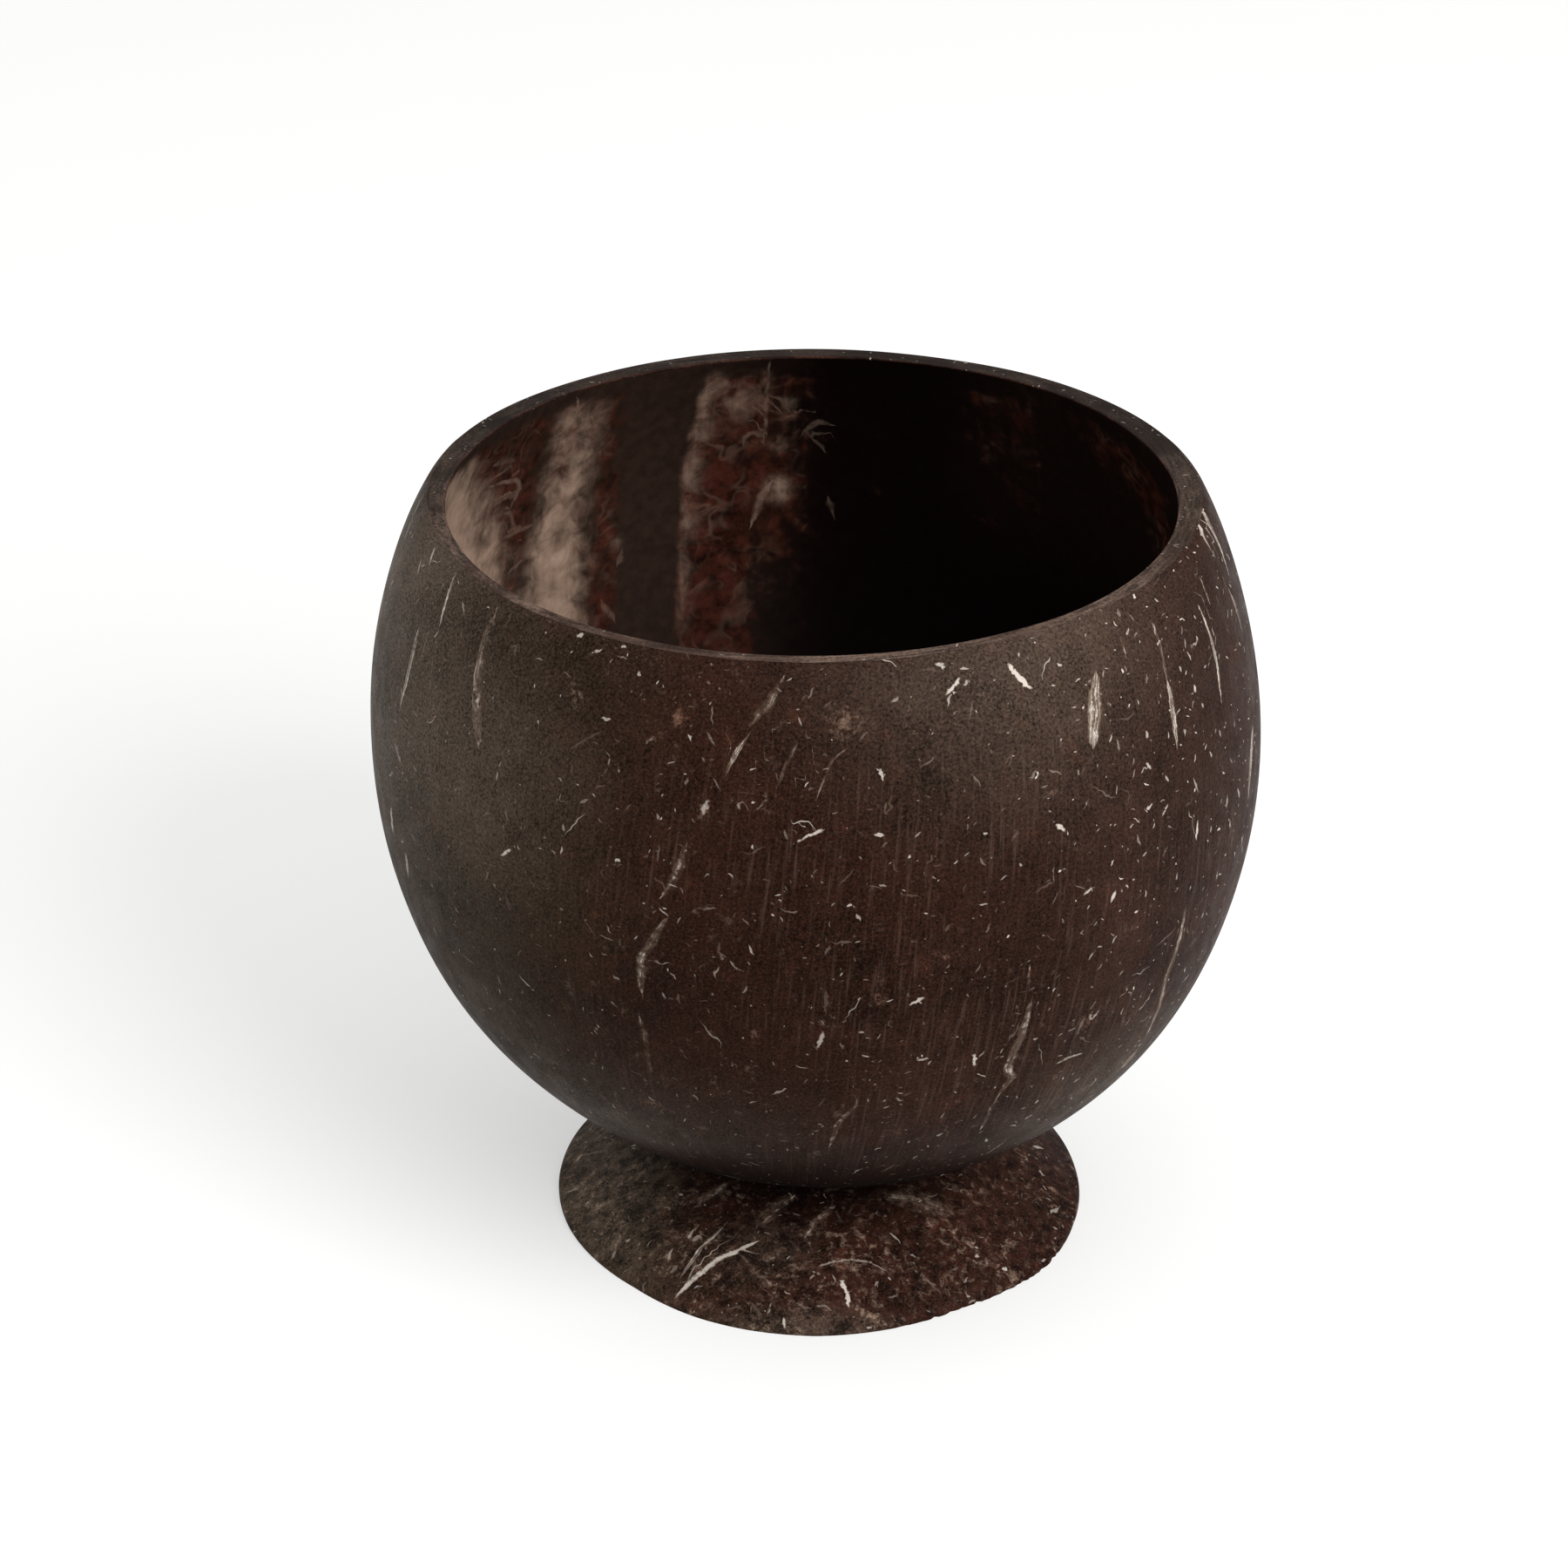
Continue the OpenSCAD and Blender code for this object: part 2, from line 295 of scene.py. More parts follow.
# Zones painted paler, with their middle and reach in mm, and how pale. On the cup they are painted light: a
# painted highlight below the rim at the upper right, painted sheen at the left and painted bounce light low
# down. On the foot they are paler shell
CUP_PAINTED_LIGHT = {
    "upper_right": ((22, -42, 96), (36, 40, 28), 0.42),
    "left": ((-50, -14, 77), (38, 60, 30), 1.10),
    "left_rim": ((-45, -14, 92), (14, 24, 12), 0.32),
    "low_front": ((-16, -36, 38), (26, 26, 13), 0.20),
    "low_right": ((33, -30, 34), (20, 22, 15), 0.52),
    "low_left": ((-25, -35, 32), (16, 16, 12), 0.36),
}
FOOT_PALED = {
    "front_edge": ((-4, -33.5, 1), (26, 4.5, 8), 0.46),
    "left": ((-28, -8, 4), (14, 22, 10), 0.40),
    "middle": ((-6.5, -24, 7), (10, 7, 8), 0.30),
}
# Cut fibres strewn by chance: size of the cells that hold one at most, half length and half width, all in
# mm, and the share of the cells that hold one
DOTS = {"cell": 1.5, "length": 0.45, "width": 0.13}
HAIRS = {"cell": 6.0, "length": 2.4, "width": 0.11, "share": 0.4}
CUP_DASHES = {"cell": 3.2, "length": 1.3, "width": 0.15, "share": 0.5}
FOOT_DASHES = {"cell": 2.6, "length": 1.2, "width": 0.26, "share": 0.6}
HOLLOW_DASHES = {"cell": 2.6, "length": 1.2, "width": 0.15, "share": 0.5}
RIM_DOTS = {"cell": 1.3, "length": 0.4, "width": 0.14, "share": 0.5}
# What a point keeps that no vein or no cut fibre comes near
NO_VEIN = (50.0, 50.0, 0.0, 0.0)
NO_FLECK = (9.0, 9.0, 50.0, 0.0)
# Bearings in degrees between which the photograph hides the outside
HIDDEN_SIDE = (5, 175)
# Points along the cap, belly and shoulder of the cup's outside and inside, and round its rim's worn edge
CUP_STEPS_OUT = (52, 20, 36)
CUP_STEPS_IN = (40, 14, 26)
RIM_STEPS = 7
# Where the rim's flat is divided, as shares of its width from the outside
FLAT_SHARES = (0.3, 0.6, 0.8)
# Points along the foot's dome and its hollow
FOOT_STEPS_OUT = 48
FOOT_STEPS_IN = 24
# Points along each side of the adhesive's bead, and faces round it
GLUE_STEPS = 5
GLUE_TURNS = 96
# Height and reach in mm of the fuller belly and of the bottom's shift, and how far down in mm the rim's
# wear fades
FULL_AT = (33, 12)
SHIFT_AT = (20, 14)
WEAR_FADE = 2.5
# Bearing of the middle of the foot's chips, how far they go to each side, and over how much of that they
# fade, in degrees
CHIPS_AT = (312, 26)
CHIPS_FADE = 6
# Share of the cup's height that a band takes to change from its top to its bottom
BAND_DROP = 0.45
# Depths below the rim between which bands and patches begin, and heights between which they fade, in mm,
# and the least share that is left of them
BAND_START = (0.9, 3.9)
BAND_END = (16, 32)
BAND_LEAST = 0.2
# How far the rim's outer edge is worn in, in mm, by its bearing from +X in degrees
RIM_WEAR = {
    0: 0.4, 20: 0.0, 90: 0.4, 160: 0.0, 180: 0.9, 200: 1.9,
    225: 1.6, 270: 1.1, 315: 1.5, 340: 1.1, 360: 0.4,
}
# How far the foot's edge stands out of round, in mm, by its bearing from +X in degrees
FOOT_OUTLINE = {
    0: 0.0, 200: 0.0, 216: -0.2, 227: -0.3, 244: 0.3, 256: 0.5, 270: 0.5,
    290: -0.2, 304: -0.7, 315: -0.2, 327: 0.45, 345: 0.0, 360: 0.0,
}


def mm_size(name, description, default):
    """A length in metres whose default is given in millimetres."""
    return FloatProperty(name=name, description=description, default=default * MM,
                         unit="LENGTH", precision=4)


def angle(name, description, degrees):
    return FloatProperty(name=name, description=description, default=math.radians(degrees),
                         unit="ROTATION")


def colour(name, description, default):
    return FloatVectorProperty(name=name, description=description, default=default,
                               size=3, subtype="COLOR")


def number(name, description, default):
    return FloatProperty(name=name, description=description, default=default)


class CoconutCupSizes(bpy.types.PropertyGroup):
    """Sizes of the cup, the foot and the adhesive between them"""
    cup_d: mm_size("Cup diameter", "Outside diameter at the widest line", 106)
    shoulder_h: mm_size("Shoulder height", "Height of the rim above the widest line", 30.7)
    mouth_inset: mm_size("Mouth inset", "How far the mouth stands in from the widest line", 6.9)
    belly_stretch: mm_size("Belly stretch", "How much deeper the cup is than half a ball", 2)
    belly_ease: mm_size("Belly ease", "Belly arc's radius past the cup's radius", 8)
    cup_wall: mm_size("Cup wall", "Thickness of the cup's shell", 2.8)
    rim_round_out: mm_size("Outer rim round", "Radius of the rim's worn outer edge", 2.6)
    rim_round_end: angle("Rim round end", "Slope at which the rim's worn edge meets the flat", 52)
    rim_round_in: mm_size("Inner rim round", "Round on the rim's inner edge", 0.3)
    foot_d: mm_size("Foot diameter", "Outside diameter of the foot where it stands", 66)
    foot_h: mm_size("Foot height", "Height of the foot's dome before its top was sanded", 11)
    foot_edge: mm_size("Foot edge", "Height of the foot's blunt edge", 0.6)
    foot_wall: mm_size("Foot wall", "Thickness of the foot's shell", 2.8)
    seat_d: mm_size("Seat diameter", "Diameter of the sanded flats", 20)
    glue_bead: mm_size("Adhesive bead", "How far the adhesive stands out past the flats", 3)
    lean: number("Lean", "Sideways drift of the cup for each unit of height", -0.0238)
    tilt: number("Mouth tilt", "Rise of the mouth towards +X", 0.013)
    unevenness: mm_size("Unevenness", "Depth of the natural swellings of the shell", 0.5)
    bottom_shift: mm_size("Bottom shift", "How far the cup's lower part sits towards +X", 0.45)
    fullness: mm_size("Fullness", "How far the lower belly stands out past its arc", 0.4)
    thick_right: mm_size("Thicker right", "How much thicker the wall is at +X than at the front", 0.9)
    thick_left: mm_size("Thicker left", "How much thicker the wall is at -X than at the front", 0.4)
    chips: mm_size("Chips", "Depth of the chips in the foot's edge", 0.35)
    turns: IntProperty(name="Turns", description="Faces round the cup", default=360, min=32)


class CoconutCupColours(bpy.types.PropertyGroup):
    """Colours of the shell's finishes"""
    # The cup's greyer, lighter left is partly the shell's own tone and partly painted sheen
    olive_and_sheen: colour("Olive shell", "Greyer shell of the cup's left", (0.0350, 0.0225, 0.0140))
    brown: colour("Brown shell", "Dark brown shell of the cup's front", (0.0200, 0.0074, 0.0043))
    umber: colour("Umber shell", "Lighter brown shell of the cup's right", (0.0290, 0.0133, 0.0093))
    # Worn shell: the colour of the pale patches and the foot's paler zones, and on the cup also of the
    # painted highlight, painted sheen and painted bounce light
    worn: colour("Worn shell", "Shell that handling has paled", (0.088, 0.066, 0.049))
    foot_olive: colour("Olive foot", "Greyer shell of the foot's left", (0.046, 0.032, 0.021))
    foot_red: colour("Red foot", "Reddish shell of the foot's middle", (0.0245, 0.0086, 0.0054))
    foot_dark: colour("Dark foot", "Dark reddish shell of the foot's right", (0.0240, 0.0088, 0.0057))
    rust: colour("Rust", "Rusty blotches and fibres", (0.110, 0.036, 0.020))
    fleck: colour("Fibre", "Cut fibres that show as pale flecks and veins", (0.60, 0.53, 0.46))
    tan: colour("Tan", "Duller fibres and clouding", (0.30, 0.205, 0.150))
    dust: colour("Dust", "Fine pale grain of the sanded shell", (0.27, 0.205, 0.165))
    rim: colour("Sawn rim", "Sanded cut of the shell", (0.118, 0.077, 0.057))
    lip: colour("Broken lip", "Rusty inner edge of the rim", (0.130, 0.052, 0.036))
    inside_pale: colour("Inside pale", "Pale bands of the scraped inside", (0.39, 0.27, 0.20))
    inside_rust: colour("Inside rust", "Rusty bands of the scraped inside", (0.038, 0.0100, 0.0058))
    inside_dark: colour("Inside dark", "Dark brown of the scraped inside", (0.026, 0.0145, 0.0100))
    # Inside black: partly the inside's own darkest shell, partly painted shade on its right
    inside_black_and_shade: colour("Inside black", "Blackest part of the scraped inside", (0.0030, 0.0008, 0.0006))
    # Adhesive: dark partly in its own colour and partly as painted shade in the joint
    adhesive: colour("Adhesive", "Cured adhesive", (0.010, 0.006, 0.004))
    floor: colour("Floor", "Studio floor", (0.70, 0.70, 0.69))


class CoconutCupStudio(bpy.types.PropertyGroup):
    """Camera and light of the studio"""
    distance: mm_size("Camera distance", "How far in front of the cup the camera stands", 443.5)
    height: mm_size("Camera height", "Height of the camera above the floor", 289.3)
    pitch: angle("Camera pitch", "How far the camera looks down", 27.631)
    yaw: angle("Camera yaw", "How far the camera is turned to its left", 0.646)
    roll: angle("Camera roll", "How far the camera is tipped about its view", 0.615)
    focus: number("Focal length", "In pixels of the photograph", 4762.0)
    key_power: FloatProperty(name="Key light", description="Power of the large lamp",
                             default=7.4, unit="POWER")
    key_size: mm_size("Key size", "Diameter of the large lamp", 600)
    key_distance: mm_size("Key distance", "From the cup to the large lamp", 950)
    key_bearing: angle("Key bearing", "Where the large lamp stands, from +X", -50)
    key_rise: angle("Key rise", "How high the large lamp stands", 36)
    zenith: number("Zenith", "Strength of the surround overhead", 0.80)
    horizon: number("Horizon", "Strength of the surround at eye level", 0.32)
    left_fill: number("Left fill", "Added strength of the surround towards -X", 0.45)
    floor_glow: number("Floor glow", "Whitening of the floor where it is seen", 0.35)
    floor_bounce: number("Floor bounce", "Share of the floor's light that reaches the cup", 0.55)


def sizes():
    return bpy.context.scene.coconut_cup_sizes


def colours():
    return bpy.context.scene.coconut_cup_colours


def studio():
    return bpy.context.scene.coconut_cup_studio


# Profiles, as (radius, height) points in metres


def arc_r(width, height):
    return (width * width + height * height) / (2 * width)


def arc(centre, radius, start, end, count):
    """Points on an arc, with angles in radians from +r towards +z."""
    turn = np.linspace(start, end, count)
    return [(centre[0] + radius * math.cos(t), centre[1] + radius * math.sin(t)) for t in turn]


class CupShape:
    """The cup's three arcs and its heights, from the driving sizes and the solid's box."""

    def __init__(self, s):
        self.r = s.cup_d / 2
        self.wall = s.cup_wall
        self.seat_r = s.seat_d / 2
        self.seat_z = CUP_LOW.z
        self.rim_z = CUP_HIGH.z
        self.shoulder_h = s.shoulder_h
        self.shoulder_r = arc_r(s.mouth_inset, s.shoulder_h)
        self.belly_r = self.r + s.belly_ease
        self.cap_r = self.r - s.belly_stretch ** 2 / (2 * (s.belly_ease - s.belly_stretch))
        self.belly_z = self.rim_z - s.shoulder_h
        self.cap_z = self.belly_z - self.r - s.belly_stretch + self.cap_r
        self.turn = math.atan2(self.belly_z - self.cap_z, s.belly_ease)
        self.shoulder_c = (self.r - self.shoulder_r, self.belly_z)
        self.belly_c = (-s.belly_ease, self.belly_z)
        self.cap_c = (0.0, self.cap_z)

    def side(self, depth, low, counts, up=None):
        """The face a depth below the outside, from an angle on the cap to one on the shoulder or the rim."""
        if up is None:
            up = math.asin(self.shoulder_h / (self.shoulder_r - depth))
        cap = arc(self.cap_c, self.cap_r - depth, low, -self.turn, counts[0])
        belly = arc(self.belly_c, self.belly_r - depth, -self.turn, 0, counts[1])
        shoulder = arc(self.shoulder_c, self.shoulder_r - depth, 0, up, counts[2])
        return cap + belly[1:] + shoulder[1:]

    def rim_round(self, radius, end, count):
        """The rim's worn edge: the angle at which it leaves the shoulder, and its arc to the sawn flat."""
        height = self.rim_z - radius * math.sin(end)
        reach = math.sqrt((self.shoulder_r - radius) ** 2 - (height - self.belly_z) ** 2)
        start = math.atan2(height - self.belly_z, reach)
        return start, arc((self.shoulder_c[0] + reach, height), radius, start, end, count)

    def depth_at(self, co):
        """How far points lie below the cup's outer face."""
        r, z = np.hypot(co[:, 0], co[:, 1]), co[:, 2]
        shoulder = self.shoulder_r - np.hypot(r - self.shoulder_c[0], z - self.shoulder_c[1])
        belly = self.belly_r - np.hypot(r - self.belly_c[0], z - self.belly_c[1])
        cap = self.cap_r - np.hypot(r, z - self.cap_z)
        below = np.arctan2(self.belly_z - z, r - self.belly_c[0]) > self.turn
        return np.where(z > self.belly_z, shoulder, np.where(below, cap, belly))


class FootShape:
    """The foot's ball, and where it ends."""

    def __init__(self, s):
        self.r = s.foot_d / 2
        self.edge = s.foot_edge
        self.wall = s.foot_wall
        self.seat_r = s.seat_d / 2
        self.ball_r = arc_r(s.foot_h - s.foot_edge, self.r)
        self.ball_z = s.foot_h - self.ball_r
        self.top_z = FOOT_TOP

    def angle_at(self, r, depth=0.0):
        return math.acos(r / (self.ball_r - depth))


# Modelling helpers


def start_clean(piece=None):
    """Object mode, with nothing selected but the piece, if one is given."""
    if bpy.context.object and bpy.context.object.mode != "OBJECT":
        bpy.ops.object.mode_set(mode="OBJECT")
    bpy.ops.object.select_all(action="DESELECT")
    if piece:
        bpy.context.view_layer.objects.active = piece
        piece.select_set(True)


def spin_profile(name, points, turns):
    """Draws a half section vertex by vertex and spins it into a closed shell."""
    start_clean()
    bpy.ops.mesh.primitive_plane_add(size=MM, location=(0, 0, 0))
    piece = bpy.context.object
    piece.name = name
    piece.data.name = name
    bpy.ops.object.mode_set(mode="EDIT")
    bpy.ops.mesh.select_mode(type="VERT")
    bpy.ops.mesh.select_all(action="SELECT")
    bpy.ops.mesh.merge(type="CENTER")
    r0, z0 = points[0]
    bpy.ops.transform.translate(value=(r0, 0, z0))
    for (ra, za), (rb, zb) in zip(points, points[1:]):
        bpy.ops.mesh.extrude_region_move(TRANSFORM_OT_translate={"value": (rb - ra, 0, zb - za)})
    bpy.ops.mesh.select_all(action="SELECT")
    bpy.ops.mesh.spin(steps=turns, angle=2 * math.pi, center=(0, 0, 0), axis=(0, 0, 1),
                      use_auto_merge=True)
    bpy.ops.mesh.select_all(action="SELECT")
    bpy.ops.mesh.remove_doubles(threshold=0.01 * MM)
    bpy.ops.mesh.normals_make_consistent(inside=False)
    bpy.ops.mesh.select_all(action="DESELECT")
    bpy.ops.object.mode_set(mode="OBJECT")
    return piece


def points_of(piece):
    co = np.empty(len(piece.data.vertices) * 3)
    piece.data.vertices.foreach_get("co", co)
    return co.reshape(-1, 3)


def move_points(piece, co):
    piece.data.vertices.foreach_set("co", co.ravel())
    piece.data.update()


def face_centres(piece):
    centre = np.empty(len(piece.data.polygons) * 3)
    piece.data.polygons.foreach_get("center", centre)
    return centre.reshape(-1, 3)


def bearing_of(co):
    """Bearings of points round the upright axis, in degrees from +X."""
    return np.degrees(np.arctan2(co[:, 1], co[:, 0])) % 360


def around(table, co):
    """A table's lengths in mm, at the bearings of points and in metres."""
    return np.interp(bearing_of(co), list(table), list(table.values())) * MM


def hump(co, height, reach):
    """1 at a height in mm, falling away over a reach above and below it."""
    return np.exp(-((co[:, 2] / MM - height) / reach) ** 2)


def ramp(value, low, high):
    """0 up to a low value, 1 from a high one, and straight between them."""
    return np.clip((value - low) / (high - low), 0, 1)


def push_out(co, by):
    """Moves points away from the upright axis."""
    r = np.maximum(np.hypot(co[:, 0], co[:, 1]), 1e-9)
    co[:, :2] *= (1 + by / r)[:, None]


def round_ring(piece, r, z, width, segments):
    """Bevels the ring of edges at a radius and height."""
    near = 0.02 * MM
    start_clean(piece)
    co = points_of(piece)
    on_ring = (np.abs(np.hypot(co[:, 0], co[:, 1]) - r) < near) & (np.abs(co[:, 2] - z) < near)
    for edge in piece.data.edges:
        edge.select = bool(on_ring[edge.vertices[0]] and on_ring[edge.vertices[1]])
    piece.data.vertices.foreach_set("select", on_ring)
    for face in piece.data.polygons:
        face.select = False
    bpy.ops.object.mode_set(mode="EDIT")
    bpy.ops.mesh.select_mode(type="EDGE")
    bpy.ops.mesh.bevel(offset=width, segments=segments, affect="EDGES")
    bpy.ops.object.mode_set(mode="OBJECT")


def swell(piece, name, depth, size):
    """Gives a shell the soft, uneven swellings of a natural one."""
    start_clean(piece)
    clouds = bpy.data.textures.new(name, "CLOUDS")
    clouds.noise_scale = size
    clouds.noise_depth = 1
    swelling = piece.modifiers.new(name, "DISPLACE")
    swelling.texture = clouds
    swelling.texture_coords = "LOCAL"
    swelling.strength = depth
    bpy.ops.object.modifier_apply(modifier=name)


def paint_faces(piece, material, chosen):
    """Gives the chosen faces a material of their own."""
    piece.data.materials.append(material)
    slot = len(piece.data.materials) - 1
    index = np.empty(len(piece.data.polygons), np.int32)
    piece.data.polygons.foreach_get("material_index", index)
    index[chosen] = slot
    piece.data.polygons.foreach_set("material_index", index)


def finish_piece(piece, node, sharp=30):
    """Smooths a piece where it turns by less than an angle, and ties it to the solid it stands for."""
    start_clean(piece)
    bpy.ops.object.shade_smooth_by_angle(angle=math.radians(sharp))
    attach(piece, BODY)
    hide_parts(node)
    piece.select_set(False)


# Marks on the surface: veins and cut fibres, kept for the materials as values at each point


def camera_turn(s):
    """The camera's rotation: level, then pitched down, turned and rolled."""
    level = Matrix.Rotation(math.pi / 2 - s.pitch, 3, "X")
    return Matrix.Rotation(s.yaw, 3, "Z") @ level @ Matrix.Rotation(s.roll, 3, "Z")


class Surface:
    """A piece's faces, to find the points that marks run through."""

    def __init__(self, piece):
        self.piece = piece
        self.co = points_of(piece)
        faces = [list(face.vertices) for face in piece.data.polygons]
        self.tree = BVHTree.FromPolygons(self.co.tolist(), faces)

    def hit(self, origin, ray):
        point, normal, _, _ = self.tree.ray_cast(Vector(origin), Vector(ray))
        if point is None:
            raise RuntimeError(f"no surface from {tuple(origin)} along {tuple(ray)}")
        return np.array(point), np.array(normal)

    def at_pixel(self, pixel):
        """The surface behind a pixel of the photograph."""
        s = studio()
        middle = IMAGE_SIDE / 2
        ray = Vector((pixel[0] - middle, middle - pixel[1], -s.focus)).normalized()
        return self.hit((0, -s.distance, s.height), camera_turn(s) @ ray)

    def at_side(self, bearing, height):
        """The outside at a bearing and height."""
        out = Vector((math.cos(bearing), math.sin(bearing), 0.0))
        return self.hit(out + Vector((0, 0, height)), -out)

    def at_top(self, bearing, radius):
        """The upper side at a bearing and radius."""
        return self.hit((radius * math.cos(bearing), radius * math.sin(bearing), 1.0), (0, 0, -1))

    def spot(self, pixel, radius):
        """1 at the surface behind a pixel, falling away over a radius in mm."""
        away = np.linalg.norm(self.co - self.at_pixel(pixel)[0], axis=1) / (radius * MM)
        return np.exp(-away ** 2)

    def keep(self, name, field):
        """Writes four values to each point, for the materials."""
        layer = self.piece.data.attributes.new(name, "FLOAT_COLOR", "POINT")
        layer.data.foreach_set("color", field.astype(np.float32).ravel())


def beside(co, start, end, normal):
    """How far points lie along a line on the surface, as a share, beside it, and from it."""
    run = end - start
    length = np.linalg.norm(run)
    across = np.cross(normal, run / length)
    along = (co - start) @ run / length ** 2
    gap = co - start - np.clip(along, 0, 1)[:, None] * run
    return along, (co - start) @ across, np.linalg.norm(gap, axis=1), length


def draw_veins(surface, lines):
    """Keeps the nearest vein's offset, distance, half width (all in mm) and strength at each point."""
    co = surface.co
    nearest = np.full(len(co), 1.0)
    field = np.tile(NO_VEIN, (len(co), 1))
    for half_width, strength, hits in lines:
        lengths = [np.linalg.norm(b[0] - a[0]) for a, b in zip(hits, hits[1:])]
        gone = 0.0
        for (start, normal), (end, _) in zip(hits, hits[1:]):
            along, offset, distance, length = beside(co, start, end, normal)
            share = (gone + np.clip(along, 0, 1) * length) / sum(lengths)
            taper = np.sqrt(np.clip(4 * share * (1 - share), 0, 1))
            near = distance < nearest
            nearest[near] = distance[near]
            values = (offset / MM, distance / MM, half_width * taper, np.full(len(co), strength))
            field[near] = np.stack(values, axis=1)[near]
            gone += length
    surface.keep("vein", field)


def draw_flecks(surface, groups):
    """Keeps the nearest cut fibre at each point: across and along it, 1 at its edge, distance, strength."""
    co = surface.co
    nearest = np.full(len(co), 1.0)
    field = np.tile(NO_FLECK, (len(co), 1))
    for half_width, strength, *ends in (fleck for group in groups.values() for fleck in group):
        (start, normal), (end, _) = (surface.at_pixel(pixel) for pixel in ends)
        along, offset, distance, length = beside(co, start, end, normal)
        near = distance < nearest
        nearest[near] = distance[near]
        reach = length / 2 + half_width * MM
        across = offset / (half_width * MM)
        lengthwise = (along - 0.5) * length / reach
        values = (across, lengthwise, distance / MM, np.full(len(co), strength))
        field[near] = np.stack(values, axis=1)[near]
    surface.keep("fleck", field)


def seen_veins(surface, veins):
    """The photograph's veins, laid on the surface."""
    lines = []
    for half_width, strength, pixels in veins.values():
        lines.append((half_width, strength, [surface.at_pixel(pixel) for pixel in pixels]))
    return lines


def unseen_veins(place, count, seed, start, step, sway):
    """Veins for the side that the photograph hides: they wander from a start by steps, laid by place."""
    chance = np.random.default_rng(seed)
    lines = []
    for _ in range(count):
        bearing = math.radians(chance.uniform(*HIDDEN_SIDE))
        level = chance.uniform(*start)
        hits = []
        for _ in range(chance.integers(4, 8)):
            hits.append(place(bearing, level))
            bearing += chance.normal(0, sway)
            level += step * chance.uniform(0.6, 1.3)
        half_width = chance.uniform(0.22, 0.50)
        strength = chance.uniform(0.3, 0.65)
        lines.append((half_width, strength, hits))
    return lines


# Materials


class Nodes:
    """A node tree, with short ways to add and link nodes."""

    def __init__(self, tree):
        self.nodes = tree.nodes
        self.links = tree.links

    def put(self, socket, value):
        if isinstance(value, bpy.types.NodeSocket):
            self.links.new(value, socket)
        elif socket.type == "RGBA" and len(value) == 3:
            socket.default_value = (*value, 1.0)
        else:
            socket.default_value = value

    def node(self, kind, settings=None, **inputs):
        made = self.nodes.new(kind)
        for key, value in (settings or {}).items():
            setattr(made, key, value)
        for key, value in inputs.items():
            self.put(made.inputs[key.replace("_", " ")], value)
        return made

    def calc(self, operation, *values, clamp=False):
        made = self.nodes.new("ShaderNodeMath")
        made.operation = operation
        made.use_clamp = clamp
        for socket, value in zip(made.inputs, values):
            self.put(socket, value)
        return made.outputs[0]

    def fold(self, operation, first, *others):
        for other in others:
            first = self.calc(operation, first, other)
        return first

    def total(self, *values):
        return self.fold("ADD", *values)

    def product(self, *values):
        return self.fold("MULTIPLY", *values)

    def most(self, *values):
        return self.fold("MAXIMUM", *values)

    def vector(self, operation, *values):
        made = self.nodes.new("ShaderNodeVectorMath")
        made.operation = operation
        vectors = [made.inputs[0], made.inputs[3] if operation == "SCALE" else made.inputs[1]]
        for socket, value in zip(vectors, values):
            self.put(socket, value)
        return made.outputs["Value"] if operation in ("DOT_PRODUCT", "LENGTH") else made.outputs[0]

    def mix(self, share, low, high):
        made = self.nodes.new("ShaderNodeMix")
        made.data_type = "RGBA"
        for socket, value in zip((made.inputs[0], made.inputs[6], made.inputs[7]), (share, low, high)):
            self.put(socket, value)
        return made.outputs[2]

    def span(self, value, low, high, to_low=0.0, to_high=1.0):
        """A smooth step of a value from low to high."""
        made = self.nodes.new("ShaderNodeMapRange")
        made.interpolation_type = "SMOOTHSTEP"
        for socket, given in zip(made.inputs, (value, low, high, to_low, to_high)):
            self.put(socket, given)
        return made.outputs[0]

    def apart(self, vector):
        return self.node("ShaderNodeSeparateXYZ", Vector=vector).outputs

    def layer(self, name):
        """The four values that a mesh keeps under a name."""
        made = self.node("ShaderNodeAttribute", {"attribute_name": name})
        return (*self.apart(made.outputs["Vector"]), made.outputs["Alpha"])

    def level(self, vector):
        """A point's place in plan."""
        x, y, _ = self.apart(vector)
        return self.node("ShaderNodeCombineXYZ", X=x, Y=y, Z=0.0).outputs[0]

    def noise(self, vector, scale, detail=3.0, roughness=0.55, distortion=0.0):
        made = self.node("ShaderNodeTexNoise", Vector=vector, Scale=scale, Detail=detail,
                         Roughness=roughness, Distortion=distortion)
        return made.outputs["Fac"]

    def wave(self, size, *noise):
        """A noise about zero, of a size."""
        return self.product(self.calc("SUBTRACT", self.noise(*noise), 0.5), size)


class Finish(Nodes):
    """A material's nodes."""

    def __init__(self, name):
        self.material = bpy.data.materials.new(name)
        self.material.use_nodes = True
        super().__init__(self.material.node_tree)
        self.shader = self.nodes["Principled BSDF"]

    def in_mm(self):
        """The surface point in mm, and the surface's own normal."""
        place = self.node("ShaderNodeTexCoord")
        return self.vector("SCALE", place.outputs["Object"], 1 / MM), place.outputs["Normal"]

    def shine(self, level):
        """Sets how strongly the finish mirrors what is round it."""
        self.put(self.shader.inputs["Specular IOR Level"], level)

    def surface(self, base, roughness, height=None, depth=0.0):
        """Sets the shader's colour, roughness and bump."""
        self.put(self.shader.inputs["Base Color"], base)
        self.put(self.shader.inputs["Roughness"], roughness)
        if height:
            bump = self.node("ShaderNodeBump", Height=height, Strength=0.4, Distance=depth * MM)
            self.put(self.shader.inputs["Normal"], bump.outputs[0])
        return self.material


